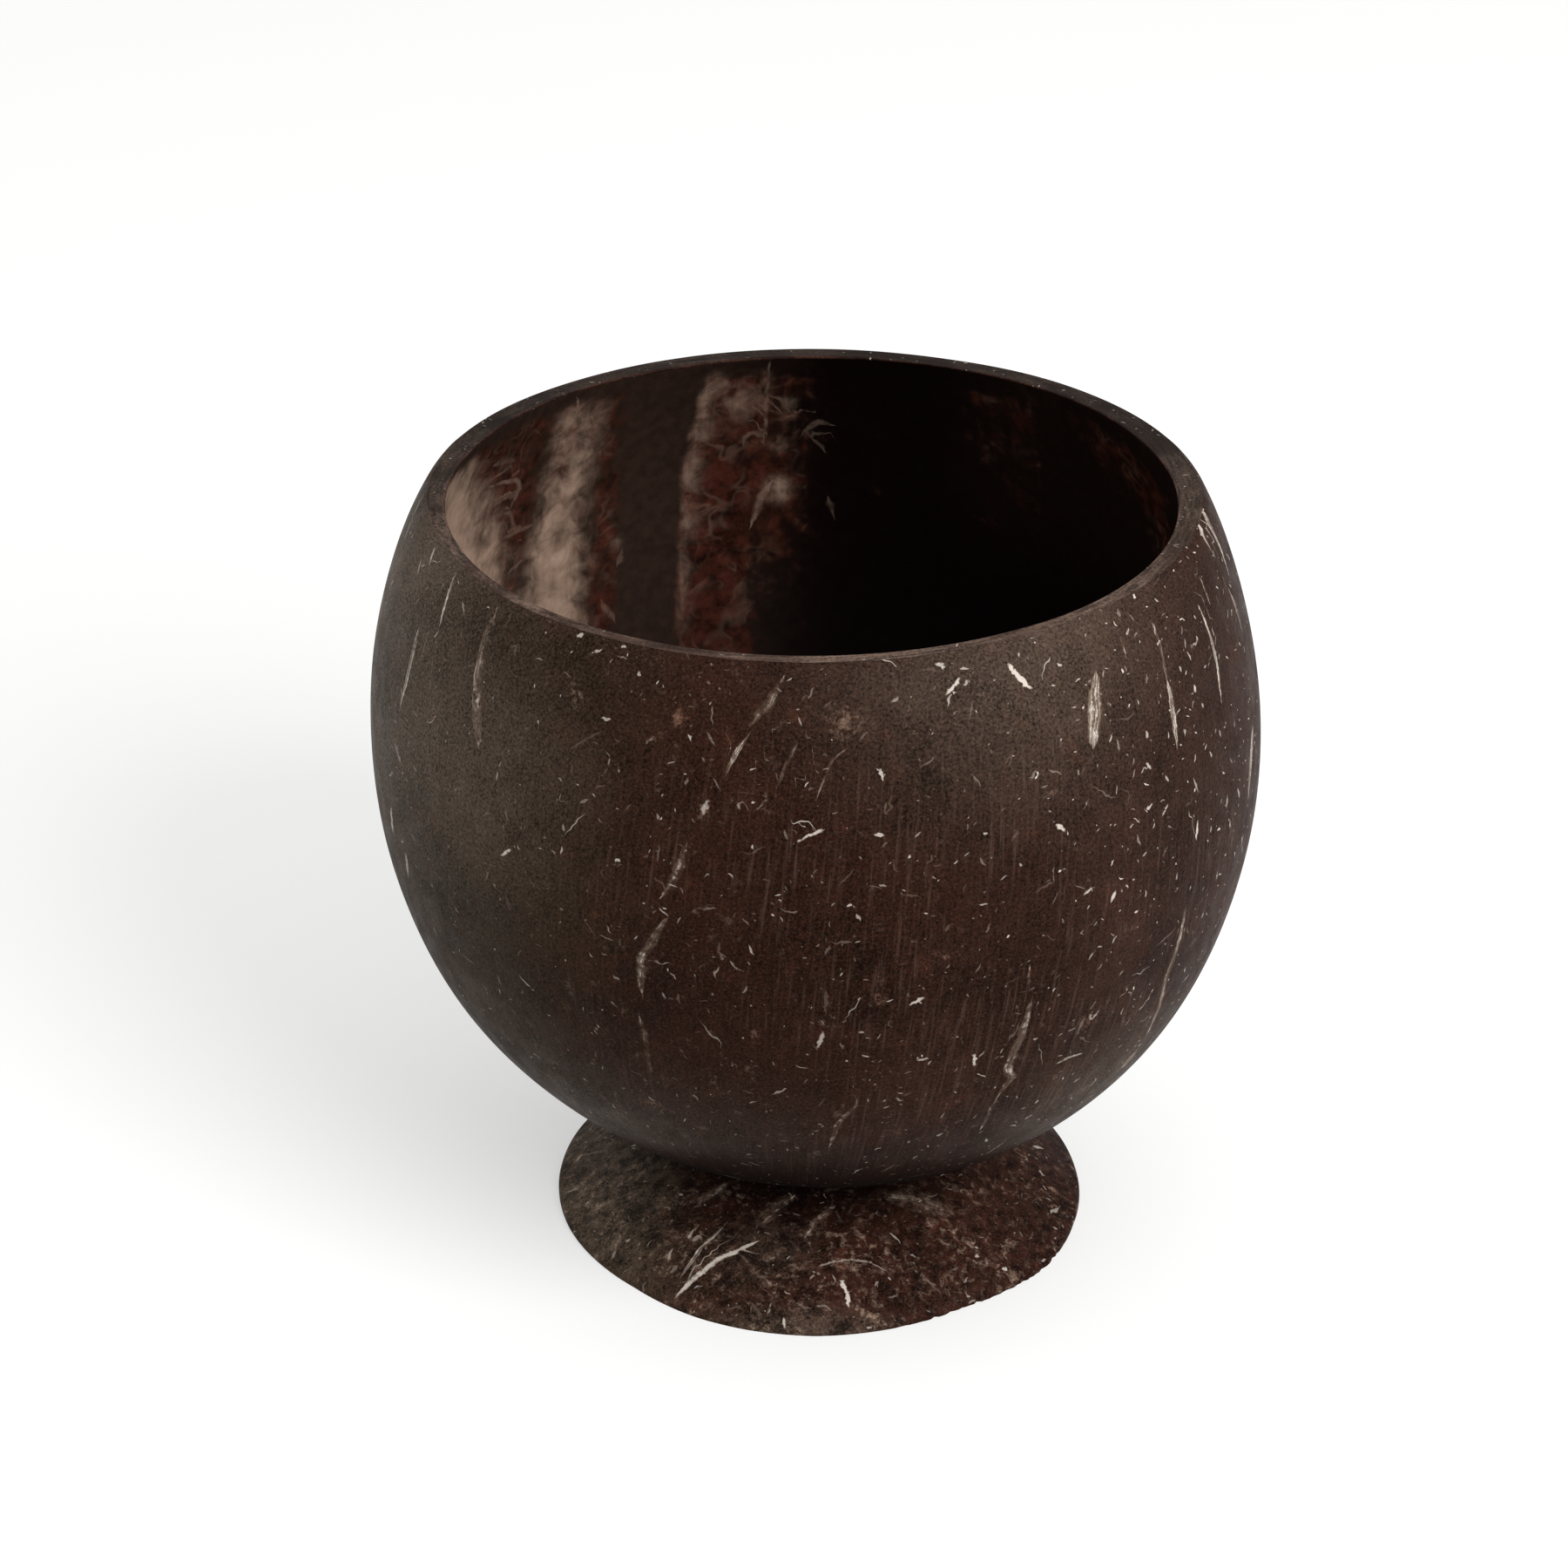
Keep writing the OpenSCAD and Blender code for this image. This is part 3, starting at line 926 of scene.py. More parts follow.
def fleck_layer(f, point, normal, cell, length, width, share, seed):
    """Cut fibres: short pale dashes at random angles in the surface, one at most in each cell."""
    moved = f.vector("ADD", point, (seed, 2.3 * seed, -1.7 * seed))
    cells = f.node("ShaderNodeTexVoronoi", Vector=moved, Scale=1 / cell)
    offset = f.vector("SUBTRACT", moved, cells.outputs["Position"])
    lot = f.vector("SUBTRACT", cells.outputs["Color"], (0.5, 0.5, 0.5))
    axis = f.vector("NORMALIZE", f.vector("SUBTRACT", lot, f.vector("PROJECT", lot, normal)))
    along = f.vector("DOT_PRODUCT", offset, axis)
    depth = f.vector("DOT_PRODUCT", offset, normal)
    flat = f.vector("LENGTH", f.vector("SUBTRACT", offset, f.vector("PROJECT", offset, normal)))
    across = f.calc("SUBTRACT", f.product(flat, flat), f.product(along, along))
    across = f.calc("SQRT", f.most(across, 0.0))
    chance = f.node("ShaderNodeTexWhiteNoise", Vector=cells.outputs["Position"]).outputs["Value"]
    spread = f.calc("FRACT", f.product(chance, 7.0))
    reach = f.product(f.total(f.product(spread, spread), 0.2), length)
    taper = f.calc("SUBTRACT", 1.0, f.calc("POWER", f.calc("DIVIDE", along, reach), 2.0), clamp=True)
    slim = f.most(f.product(taper, width), 0.001)
    body = f.span(f.calc("DIVIDE", across, slim), 0.4, 1.1, 1.0, 0.0)
    near = f.span(f.calc("ABSOLUTE", depth), 0.2 * cell, 0.3 * cell, 1.0, 0.0)
    chosen = f.calc("LESS_THAN", chance, share)
    bright = f.calc("POWER", f.calc("FRACT", f.product(chance, 37.0)), 3.0)
    return f.product(body, near, chosen, f.total(0.14, f.product(bright, 0.5)))


def out_of_vein(f, offset, width):
    """How far a point is from the middle of its vein, 1 at the vein's edge."""
    return f.calc("DIVIDE", f.calc("ABSOLUTE", offset), f.most(width, 0.001))


def drawn_veins(f, point):
    """The veins drawn on the piece: strands side by side, crisp in strong veins and soft in faint ones."""
    offset, distance, width, strength = f.layer("vein")
    wander = f.total(f.wave(0.8, point, 0.5, 2.0), f.wave(0.5, point, 2.2, 2.0))
    offset = f.total(offset, f.product(wander, f.span(width, 0.0, 0.6, 0.3, 1.0)))
    ratio = out_of_vein(f, offset, width)
    track = f.node("ShaderNodeCombineXYZ", X=f.product(offset, 5.0)).outputs[0]
    track = f.vector("ADD", track, f.vector("SCALE", point, 0.3))
    strands = f.span(f.noise(track, 1.0, 2.0), 0.4, 0.62, 0.32, 1.0)
    crisp = f.span(strength, 0.48, 0.64)
    edges = f.product(f.span(ratio, 0.4, 0.85, 0.0, 0.6), crisp)
    body = f.span(ratio, f.product(crisp, 0.65), 1.25, 1.0, 0.0)
    mottle = f.span(f.noise(point, 1.2, 3.0, 0.65), 0.36, 0.64, 0.25, 1.5)
    patchy = f.product(f.span(f.noise(point, 0.4, 3.0), 0.35, 0.6, 0.4, 1.0), mottle)
    patchy = f.most(patchy, f.product(crisp, 0.85))
    return f.product(body, f.span(distance, 2.0, 2.6, 1.0, 0.0), f.most(strands, edges), strength, patchy)


def soft_strokes(f, point):
    """The fibres drawn on the cup's inside: broad, soft and uneven."""
    offset, distance, width, strength = f.layer("vein")
    offset = f.total(offset, f.wave(0.9, point, 0.6, 2.0))
    ratio = out_of_vein(f, offset, width)
    body = f.product(f.span(ratio, 0.3, 2.0, 1.0, 0.0), f.span(distance, 1.6, 2.2, 1.0, 0.0))
    return f.product(body, strength, f.span(f.noise(point, 0.8, 3.0), 0.3, 0.6, 0.4, 1.0))


def drawn_fibres(f, point):
    """The cut fibres drawn on the piece, with ragged edges."""
    across, along, away, bright = f.layer("fleck")
    across = f.total(across, f.wave(3.0, point, 1.9, 2.0))
    out = f.total(f.product(across, across), f.product(along, along))
    return f.product(f.span(out, 0.2, 1.0, 1.0, 0.0), f.span(away, 0.45, 0.75, 1.0, 0.0), bright, bright)


def meridians(f, point, twist=0.0):
    """Coordinates that run round the cup in mm at its widest line, squeezed along its height."""
    z = f.apart(point)[2]
    turned = f.node("ShaderNodeVectorRotate", {"rotation_type": "Z_AXIS"}, Vector=f.level(point),
                    Angle=f.product(z, twist)).outputs[0]
    round_x, round_y, _ = f.apart(f.vector("SCALE", f.vector("NORMALIZE", turned), sizes().cup_d / 2 / MM))
    return f.node("ShaderNodeCombineXYZ", X=round_x, Y=round_y, Z=f.product(z, 0.06)).outputs[0]


def sanding_lines(f, point):
    """Fine lines of sandpaper down the cup, a little slanted and stronger in patches."""
    track = meridians(f, point, -0.0014)
    patches = f.span(f.noise(point, 0.05, 1.0), 0.35, 0.6, 0.4, 1.0)
    x, _, z = f.apart(point)
    strong = f.product(patches, f.span(z, 68.0, 95.0, 1.0, 0.3), f.span(x, -36.0, -14.0, 0.35, 1.0))
    return f.product(f.wave(2.1, track, 2.6, 1.0), strong)


def clouds(f, point):
    """Soft pale clouding of the foot, from 0 to 1."""
    broad = f.span(f.noise(point, 0.16, 2.0), 0.4, 0.65, 0.2, 1.0)
    return f.product(broad, f.span(f.noise(point, 0.9, 4.0, 0.65, 0.6), 0.48, 0.75))


def paled(f, point, zones):
    """How far the zones make the shell paler, from 0 up; on the cup this is painted highlight, painted sheen
    and painted bounce light.
    """
    share = 0.0
    for centre, reach, strength in zones.values():
        away = f.vector("LENGTH", f.vector("DIVIDE", f.vector("SUBTRACT", point, centre), reach))
        share = f.total(share, f.span(away, 0.0, 1.0, strength, 0.0))
    return share


class PolishedShell(Finish):
    """Sanded and oiled shell: broad tones from left to right, with grain, dust, veins and cut fibres."""

    def __init__(self, name, tones, reach, zones):
        super().__init__(name)
        c = colours()
        left, middle, right = tones
        self.point, self.normal = self.in_mm()
        self.reach = reach
        wander = self.wave(0.9 * reach, self.point, 1.6 / reach, 2.0)
        self.side = self.total(self.apart(self.point)[0], wander)
        # On the cup the greyer left tone is partly painted sheen
        ground = self.mix(self.span(self.side, -0.25 * reach, -0.9 * reach), middle, left)
        ground = self.mix(self.span(self.side, 0.1 * reach, 0.8 * reach), ground, right)
        # On the cup the paled zones are painted light: highlight, sheen and bounce light laid into the
        # shell's colour
        pale = paled(self, self.point, zones)
        ground = self.mix(pale, ground, c.worn)
        blotches = self.noise(self.moved(31.0, 7.0, 3.0), 0.3, 4.0, 0.65)
        self.ground = self.mix(self.span(blotches, 0.56, 0.78, 0.0, 0.2), ground, c.rust)
        grain = self.wave(3.6, self.point, 3.2, 2.0, 0.7)
        self.grain = self.product(grain, self.span(pale, 0.0, 0.6, 1.0, 1.15))
        self.dust = self.span(self.noise(self.point, 4.0, 2.0, 0.7), 0.5, 0.8, 0.0, 0.11)

    def moved(self, *by):
        """The surface point moved, so that a noise differs from the others."""
        return self.vector("ADD", self.point, by)

    def polish(self, relief, joint, fibres):
        """Tones the ground by its relief, darkens it towards the joint as painted shade, and lays dust,
        veins and fibres on it.
        """
        c = colours()
        point = self.point
        drift = self.total(self.wave(1.4, point, 0.07, 3.0), self.wave(0.7, point, 0.25, 2.0))
        tone = self.total(relief, drift, 1.0)
        tone = self.product(self.most(tone, 0.25), joint)
        ground = self.mix(self.product(self.dust, joint), self.vector("SCALE", self.ground, tone), c.dust)
        veins = drawn_veins(self, point)
        ground = self.mix(veins, ground, self.mix(self.span(veins, 0.15, 0.8), c.tan, c.fleck))
        base = self.mix(fibres, ground, self.mix(self.span(fibres, 0.05, 0.45), c.tan, c.fleck))
        satin = self.span(self.noise(point, 0.35, 3.0), 0.3, 0.7, 0.44, 0.58)
        rough = self.most(satin, self.span(joint, 0.2, 1.0, 1.0, 0.4))
        self.shine(0.025)
        return self.surface(base, rough, relief, 0.025)

    def fibres(self, speckle, left, right, dash):
        """Cut fibres: dots with strengths at the left and right, dashes, hairs and the drawn ones."""
        bend = self.node("ShaderNodeTexNoise", Vector=self.point, Scale=0.7, Detail=1.0).outputs["Color"]
        bend = self.vector("SCALE", self.vector("SUBTRACT", bend, (0.5, 0.5, 0.5)), 1.6)
        bent = self.vector("ADD", self.point, bend)
        dots = fleck_layer(self, bent, self.normal, **DOTS, share=speckle, seed=0.0)
        dots = self.product(dots, self.span(self.side, 0.1 * self.reach, 0.9 * self.reach, left, right))
        dashes = fleck_layer(self, bent, self.normal, **dash, seed=17.0)
        hairs = fleck_layer(self, bent, self.normal, **HAIRS, seed=31.0)
        return self.most(dots, dashes, hairs, drawn_fibres(self, self.point))


def polished_cup(reach):
    """The cup's outside: sanding lines, tan spots and rusty patches, with painted shade darkening it towards
    the joint.
    """
    c = colours()
    f = PolishedShell("polished_cup_shell", (c.olive_and_sheen, c.brown, c.umber), reach, CUP_PAINTED_LIGHT)
    x, _, height = f.apart(f.point)
    lines = sanding_lines(f, f.point)
    spots = f.span(f.noise(f.moved(11.0, 5.0, 9.0), 0.5, 3.0, 0.65), 0.6, 0.78, 0.0, 0.22)
    spots = f.product(spots, f.span(height, 40.0, 75.0, 1.0, 0.4))
    f.ground = f.mix(spots, f.ground, c.tan)
    _, _, patch, rusty = f.layer("bands")
    ragged = f.total(patch, f.wave(2.2, f.point, 1.3, 3.0, 0.65))
    patch = f.product(patch, f.span(ragged, 0.25, 0.65))
    pale_tan, rusty_tan = f.mix(0.45, c.worn, c.tan), f.mix(0.25, c.rust, c.tan)
    f.ground = f.mix(patch, f.ground, f.mix(rusty, pale_tan, rusty_tan))
    dust = f.product(f.dust, f.span(height, 28.0, 62.0, 1.7, 1.0))
    f.dust = f.total(dust, f.span(lines, 0.05, 0.6, 0.0, 0.085))
    # Painted shade: the ground darkens towards the joint, reaching less high at the sides
    sides = f.span(f.calc("ABSOLUTE", x), 10.0, 36.0, 0.0, 8.0)
    joint = f.span(f.total(height, sides), 17.0, 38.0, 0.03, 1.0)
    relief = f.total(f.grain, f.product(lines, 0.6))
    fibres = f.fibres(speckle=0.6, left=1.1, right=3.0, dash=CUP_DASHES)
    return f.polish(relief, joint, fibres)


def polished_foot(reach):
    """The foot's outside: clouded and coarser grained, with painted shade darkening it towards the joint."""
    c = colours()
    f = PolishedShell("polished_foot_shell", (c.foot_olive, c.foot_red, c.foot_dark), reach, FOOT_PALED)
    f.ground = f.mix(f.product(clouds(f, f.point), 0.75), f.ground, c.tan)
    # Painted shade: the foot darkens towards the cup's seat
    joint = f.span(f.vector("LENGTH", f.level(f.point)), 13.0, 25.0, 0.15, 1.0)
    relief = f.total(f.grain, f.wave(3.6, f.point, 0.6, 4.0))
    fibres = f.fibres(speckle=0.8, left=0.9, right=0.9, dash=FOOT_DASHES)
    return f.polish(relief, joint, fibres)


def sawn_rim(name, shade):
    """The sanded cut: layers that run round it, fine grain, short fibres end on, and darker stretches."""
    c = colours()
    f = Finish(name)
    point, normal = f.in_mm()
    x, y, _ = f.apart(point)
    level = f.level(point)
    track = f.node("ShaderNodeCombineXYZ", X=f.product(f.vector("LENGTH", level), 2.2)).outputs[0]
    layers = f.noise(f.vector("ADD", track, f.vector("SCALE", level, 0.25)), 1.0, 3.0, 0.6)
    grain = f.product(f.total(layers, f.noise(point, 2.6, 3.0, 0.7)), 0.5)
    tone = f.mix(f.span(grain, 0.38, 0.62), shade * 0.25, shade * 1.6)
    stretches = f.span(f.noise(point, 0.12, 2.0), 0.35, 0.65, 0.0, 0.7)
    tone = f.mix(stretches, tone, c.brown)
    front_to_back = f.product(f.span(y, -35.0, 20.0, 1.0, 0.3), f.span(x, -40.0, -12.0, 0.95, 1.0))
    dots = fleck_layer(f, point, normal, **RIM_DOTS, seed=5.0)
    f.shine(0.07)
    base = f.mix(dots, f.vector("SCALE", tone, front_to_back), c.fleck)
    return f.surface(base, f.span(grain, 0.3, 0.7, 0.5, 0.65), grain, 0.06)


def scraped_inside():
    """The scraped inside of the cup: near black, and blacker towards its right partly as painted shade, with
    rusty fibres and pale bands down the wall.
    """
    c = colours()
    f = Finish("scraped_inside")
    point, _ = f.in_mm()
    pale_band, rust_band, _, _ = f.layer("bands")
    mottle = f.noise(point, 0.28, 4.0, 0.6, 0.5)
    streaks = f.noise(meridians(f, point), 0.4, 3.0, 0.6)
    ragged = f.calc("SUBTRACT", f.total(mottle, f.product(streaks, 0.5)), 0.75)
    rust = f.span(f.total(rust_band, f.product(ragged, 1.5)), 0.25, 0.85)
    wisps = f.wave(2.0, point, 0.38, 4.0, 0.6, 0.6)
    uneven = f.product(pale_band, f.calc("SUBTRACT", 1.4, pale_band))
    uneven = f.product(uneven, f.total(wisps, f.product(ragged, 2.0)))
    pale = f.span(f.total(f.product(pale_band, 0.85), uneven), 0.05, 1.15)
    x, _, z = f.apart(point)
    # Painted shade, partly the shell's own darkness: the inside goes blacker towards its right, less so high
    # up at the right
    lighter = f.product(f.span(x, 10.0, 26.0), f.span(z, 58.0, 84.0), 0.34)
    black = f.calc("SUBTRACT", f.span(x, -24.0, 2.0), lighter)
    ground = f.mix(black, c.inside_dark, c.inside_black_and_shade)
    ground = f.vector("SCALE", ground, f.total(f.wave(1.2, point, 0.7, 3.0), 1.0))
    rust_tone = f.span(f.noise(point, 0.5, 4.0, 0.65), 0.3, 0.7)
    rust_tone = f.mix(rust_tone, c.inside_rust * 0.25, c.inside_rust * 1.6)
    ground = f.mix(rust, ground, rust_tone)
    curl = f.calc("ABSOLUTE", f.wave(1.0, point, 0.30, 1.0, 0.5, 0.7))
    patches = f.span(f.noise(point, 0.17, 1.0), 0.4, 0.65)
    fibres = f.product(f.span(curl, 0.0, 0.10, 1.0, 0.0), patches, rust, 0.12)
    strokes = f.product(soft_strokes(f, point), 0.5)
    blooms = f.total(f.wave(1.1, point, 0.25, 4.0, 0.6, 0.5), 1.0)
    ground = f.mix(f.most(fibres, pale, strokes), ground, f.vector("SCALE", c.inside_pale, blooms))
    f.shine(0.07)
    return f.surface(ground, f.span(mottle, 0.3, 0.7, 0.5, 0.65), f.total(streaks, mottle), 0.12)


def hollow_foot():
    """The foot's hollow underside: brown, streaked and unpolished."""
    c = colours()
    f = Finish("hollow_foot")
    point, normal = f.in_mm()
    mottle = f.noise(point, 0.4, 5.0, 0.65)
    ground = f.mix(f.span(mottle, 0.3, 0.7), c.foot_dark, c.rust * 0.6)
    dashes = fleck_layer(f, point, normal, **HOLLOW_DASHES, seed=3.0)
    base = f.mix(f.product(dashes, 0.5), ground, c.fleck)
    return f.surface(base, f.span(mottle, 0.3, 0.7, 0.55, 0.7), mottle, 0.15)


def cured_adhesive():
    """Dark cured adhesive with a dull skin, its darkness partly its own colour and partly painted shade in
    the joint.
    """
    c = colours()
    f = Finish("cured_adhesive")
    point, _ = f.in_mm()
    skin = f.noise(point, 1.1, 3.0)
    base = f.mix(skin, c.adhesive * 0.5, c.adhesive * 1.6)
    f.shine(0.04)
    return f.surface(base, f.span(skin, 0.3, 0.7, 0.6, 0.85), skin, 0.1)


def seen_rays(f):
    """1 for rays from the camera, in reflections and through clear bodies, and 0 for light."""
    rays = f.node("ShaderNodeLightPath").outputs
    return f.most(rays["Is Camera Ray"], rays["Is Glossy Ray"], rays["Is Transmission Ray"])


def studio_floor():
    """A pale floor that keeps the shadow, and reads as white where it is seen."""
    f = Finish("studio_floor")
    f.shine(0.0)
    f.put(f.shader.inputs["Emission Color"], (1.0, 1.0, 1.0))
    seen = seen_rays(f)
    f.put(f.shader.inputs["Emission Strength"], f.product(seen, studio().floor_glow))
    pale = colours().floor
    return f.surface(f.mix(seen, pale * studio().floor_bounce, pale), 0.9)


# Operators


class COCONUT_OT_studio(bpy.types.Operator):
    """Builds the floor, the light and the camera"""
    bl_idname = "coconut.studio"
    bl_label = "Build the studio"

    def execute(self, context):
        s = studio()
        start_clean()
        bpy.ops.mesh.primitive_plane_add(size=12.0, location=(0, 0, 0))
        floor = context.object
        floor.name = "studio_floor"
        floor.data.materials.append(studio_floor())
        self.key(context, s)
        self.surround(context, s)
        start_clean()
        bpy.ops.object.camera_add(location=(0, -s.distance, s.height))
        camera = context.object
        camera.name = "photo_camera"
        camera.rotation_euler = camera_turn(s).to_euler()
        camera.data.sensor_width = SENSOR
        camera.data.lens = s.focus * SENSOR / IMAGE_SIDE
        camera.data.clip_start = 0.01
        context.scene.camera = camera
        context.scene.view_settings.view_transform = "Standard"
        return {"FINISHED"}

    def key(self, context, s):
        """A large soft lamp, turned towards the cup."""
        start_clean()
        level = s.key_distance * math.cos(s.key_rise)
        place = Vector((level * math.cos(s.key_bearing), level * math.sin(s.key_bearing),
                        s.key_distance * math.sin(s.key_rise)))
        bpy.ops.object.light_add(type="AREA", location=place)
        lamp = context.object
        lamp.name = "key_lamp"
        lamp.data.shape = "DISK"
        lamp.data.size = s.key_size
        lamp.data.energy = s.key_power
        lamp.rotation_euler = (CUP_LOW.lerp(CUP_HIGH, 0.5) - place).to_track_quat("-Z", "Y").to_euler()

    def surround(self, context, s):
        """A soft white sky, brighter overhead and to the left."""
        world = bpy.data.worlds.new("studio_sky")
        world.use_nodes = True
        f = Nodes(world.node_tree)
        across, _, up = f.apart(f.node("ShaderNodeTexCoord").outputs["Generated"])
        fill = f.span(across, -0.2, -1.0, 0.0, s.left_fill)
        sky = f.total(f.span(up, -0.1, 1.0, s.horizon, s.zenith), fill)
        back = f.nodes["Background"]
        f.put(back.inputs["Color"], (1.0, 1.0, 1.0))
        f.put(back.inputs["Strength"], sky)
        context.scene.world = world


class COCONUT_OT_cup(bpy.types.Operator):
    """Models the polished cup: spun shell, rounded rim, natural shape, veins and bands"""
    bl_idname = "coconut.cup"
    bl_label = "Model the cup"

    def execute(self, context):
        s = sizes()
        c = colours()
        shape = CupShape(s)
        low = -math.acos(shape.seat_r / shape.cap_r)
        up, worn = shape.rim_round(s.rim_round_out, s.rim_round_end, RIM_STEPS)
        outer = shape.side(0.0, low, CUP_STEPS_OUT, up) + worn[1:]
        inner = shape.side(shape.wall, -math.pi / 2, CUP_STEPS_IN)
        seat = [(0.0, shape.seat_z), (shape.seat_r / 2, shape.seat_z)]
        outer_r, inner_r = outer[-1][0], inner[-1][0]
        flat = [(outer_r + (inner_r - outer_r) * share, shape.rim_z) for share in FLAT_SHARES]
        piece = spin_profile("cup_polished", seat + outer + flat + inner[::-1], s.turns)
        round_ring(piece, *inner[-1], width=s.rim_round_in, segments=6)
        piece.data.materials.append(polished_cup(shape.r / MM))
        self.paint_inside(piece, shape, s, c)
        self.grow(piece, shape, s)
        swell(piece, "natural_swelling", s.unevenness, size=0.035)
        self.settle(piece, shape, s)
        surface = Surface(piece)
        self.band(surface, shape)
        hidden = unseen_veins(surface.at_side, count=16, seed=4, start=(0.045, 0.088),
                              step=-3.2 * MM, sway=0.013)
        seen = seen_veins(surface, CUP_VEINS) + seen_veins(surface, INSIDE_FIBRES)
        draw_veins(surface, seen + hidden)
        draw_flecks(surface, CUP_FLECKS)
        finish_piece(piece, "cup_shell", sharp=24)
        return {"FINISHED"}

    def paint_inside(self, piece, shape, s, c):
        """The inside, the rim's flat and its inner lip get finishes of their own."""
        centre = face_centres(piece)
        depth = shape.depth_at(centre)
        flat = centre[:, 2] > shape.rim_z - 0.01 * MM
        lip = (depth > 0.6 * shape.wall) & (centre[:, 2] > shape.rim_z - 1.2 * s.rim_round_in) & ~flat
        paint_faces(piece, scraped_inside(), depth > 0.9 * shape.wall)
        paint_faces(piece, sawn_rim("sawn_rim", c.rim), flat)
        paint_faces(piece, sawn_rim("broken_lip", c.lip), lip)

    def grow(self, piece, shape, s):
        """A fuller belly, a slightly square mouth at the back and a wall that varies round the cup."""
        co = points_of(piece)
        bearing = np.radians(bearing_of(co))
        full = s.fullness * hump(co, *FULL_AT)
        rise = ramp(co[:, 2], shape.belly_z, shape.rim_z)
        square = 0.7 * s.fullness * rise * np.clip(-np.cos(4 * bearing), 0, 1) * (np.sin(bearing) > 0)
        across = np.cos(bearing)
        thick = np.where(across > 0, s.thick_right, s.thick_left) * across ** 2
        within = np.clip(shape.depth_at(co) / shape.wall, 0, 1)
        wide = np.clip(np.hypot(co[:, 0], co[:, 1]) / shape.r, 0, 1)
        fade = np.exp((co[:, 2] - shape.rim_z) / (WEAR_FADE * MM))
        worn = around(RIM_WEAR, co) * fade * (1 - within)
        push_out(co, full + square - thick * within * wide - worn)
        co[:, 0] += s.bottom_shift * hump(co, *SHIFT_AT)
        move_points(piece, co)

    def settle(self, piece, shape, s):
        """Lets the cup lean a little on its seat, with its mouth cut a little off level."""
        co = points_of(piece)
        share = ramp(co[:, 2], shape.belly_z, shape.rim_z) ** 2
        co[:, 2] += s.tilt * co[:, 0] * share
        co[:, 0] += s.lean * (co[:, 2] - shape.seat_z)
        move_points(piece, co)

    def band(self, surface, shape):
        """Keeps how pale and how rusty the inside is, then the outside's patches and their rust."""
        co = surface.co
        bearing = bearing_of(co)
        below = shape.rim_z - co[:, 2]
        drop = ramp(below, 0, BAND_DROP * shape.rim_z)
        field = np.zeros((len(co), 4))
        for pale, rust, soft, left, right in INSIDE_BANDS.values():
            left_edge, right_edge = (self.edge(surface, side) for side in (left, right))
            share = ramp(left_edge - bearing, -soft[0] / 2, soft[0] / 2)
            share *= ramp(bearing - right_edge, -soft[1] / 2, soft[1] / 2)
            field[:, 0] = np.maximum(field[:, 0], share * (pale[0] + (pale[1] - pale[0]) * drop))
            field[:, 1] = np.maximum(field[:, 1], share * (rust[0] + (rust[1] - rust[0]) * drop))
        for strength, radius, pixel in INSIDE_PATCHES.values():
            field[:, 0] = np.maximum(field[:, 0], strength * surface.spot(pixel, radius))
        for strength, rusty, radius, pixel in OUTSIDE_PATCHES.values():
            patch = strength * surface.spot(pixel, radius)
            over = patch > field[:, 2]
            field[over, 2] = patch[over]
            field[over, 3] = rusty
        field *= ramp(below / MM, *BAND_START)[:, None]
        field *= np.maximum(ramp(co[:, 2] / MM, *BAND_END), BAND_LEAST)[:, None]
        surface.keep("bands", field)

    def edge(self, surface, side):
        """A band edge's bearing at the height of each point, from pixels down the wall or one bearing."""
        if not isinstance(side, list):
            return side
        hits = np.array([surface.at_pixel(pixel)[0] for pixel in side])
        hits = hits[np.argsort(hits[:, 2])]
        return np.interp(surface.co[:, 2], hits[:, 2], bearing_of(hits))


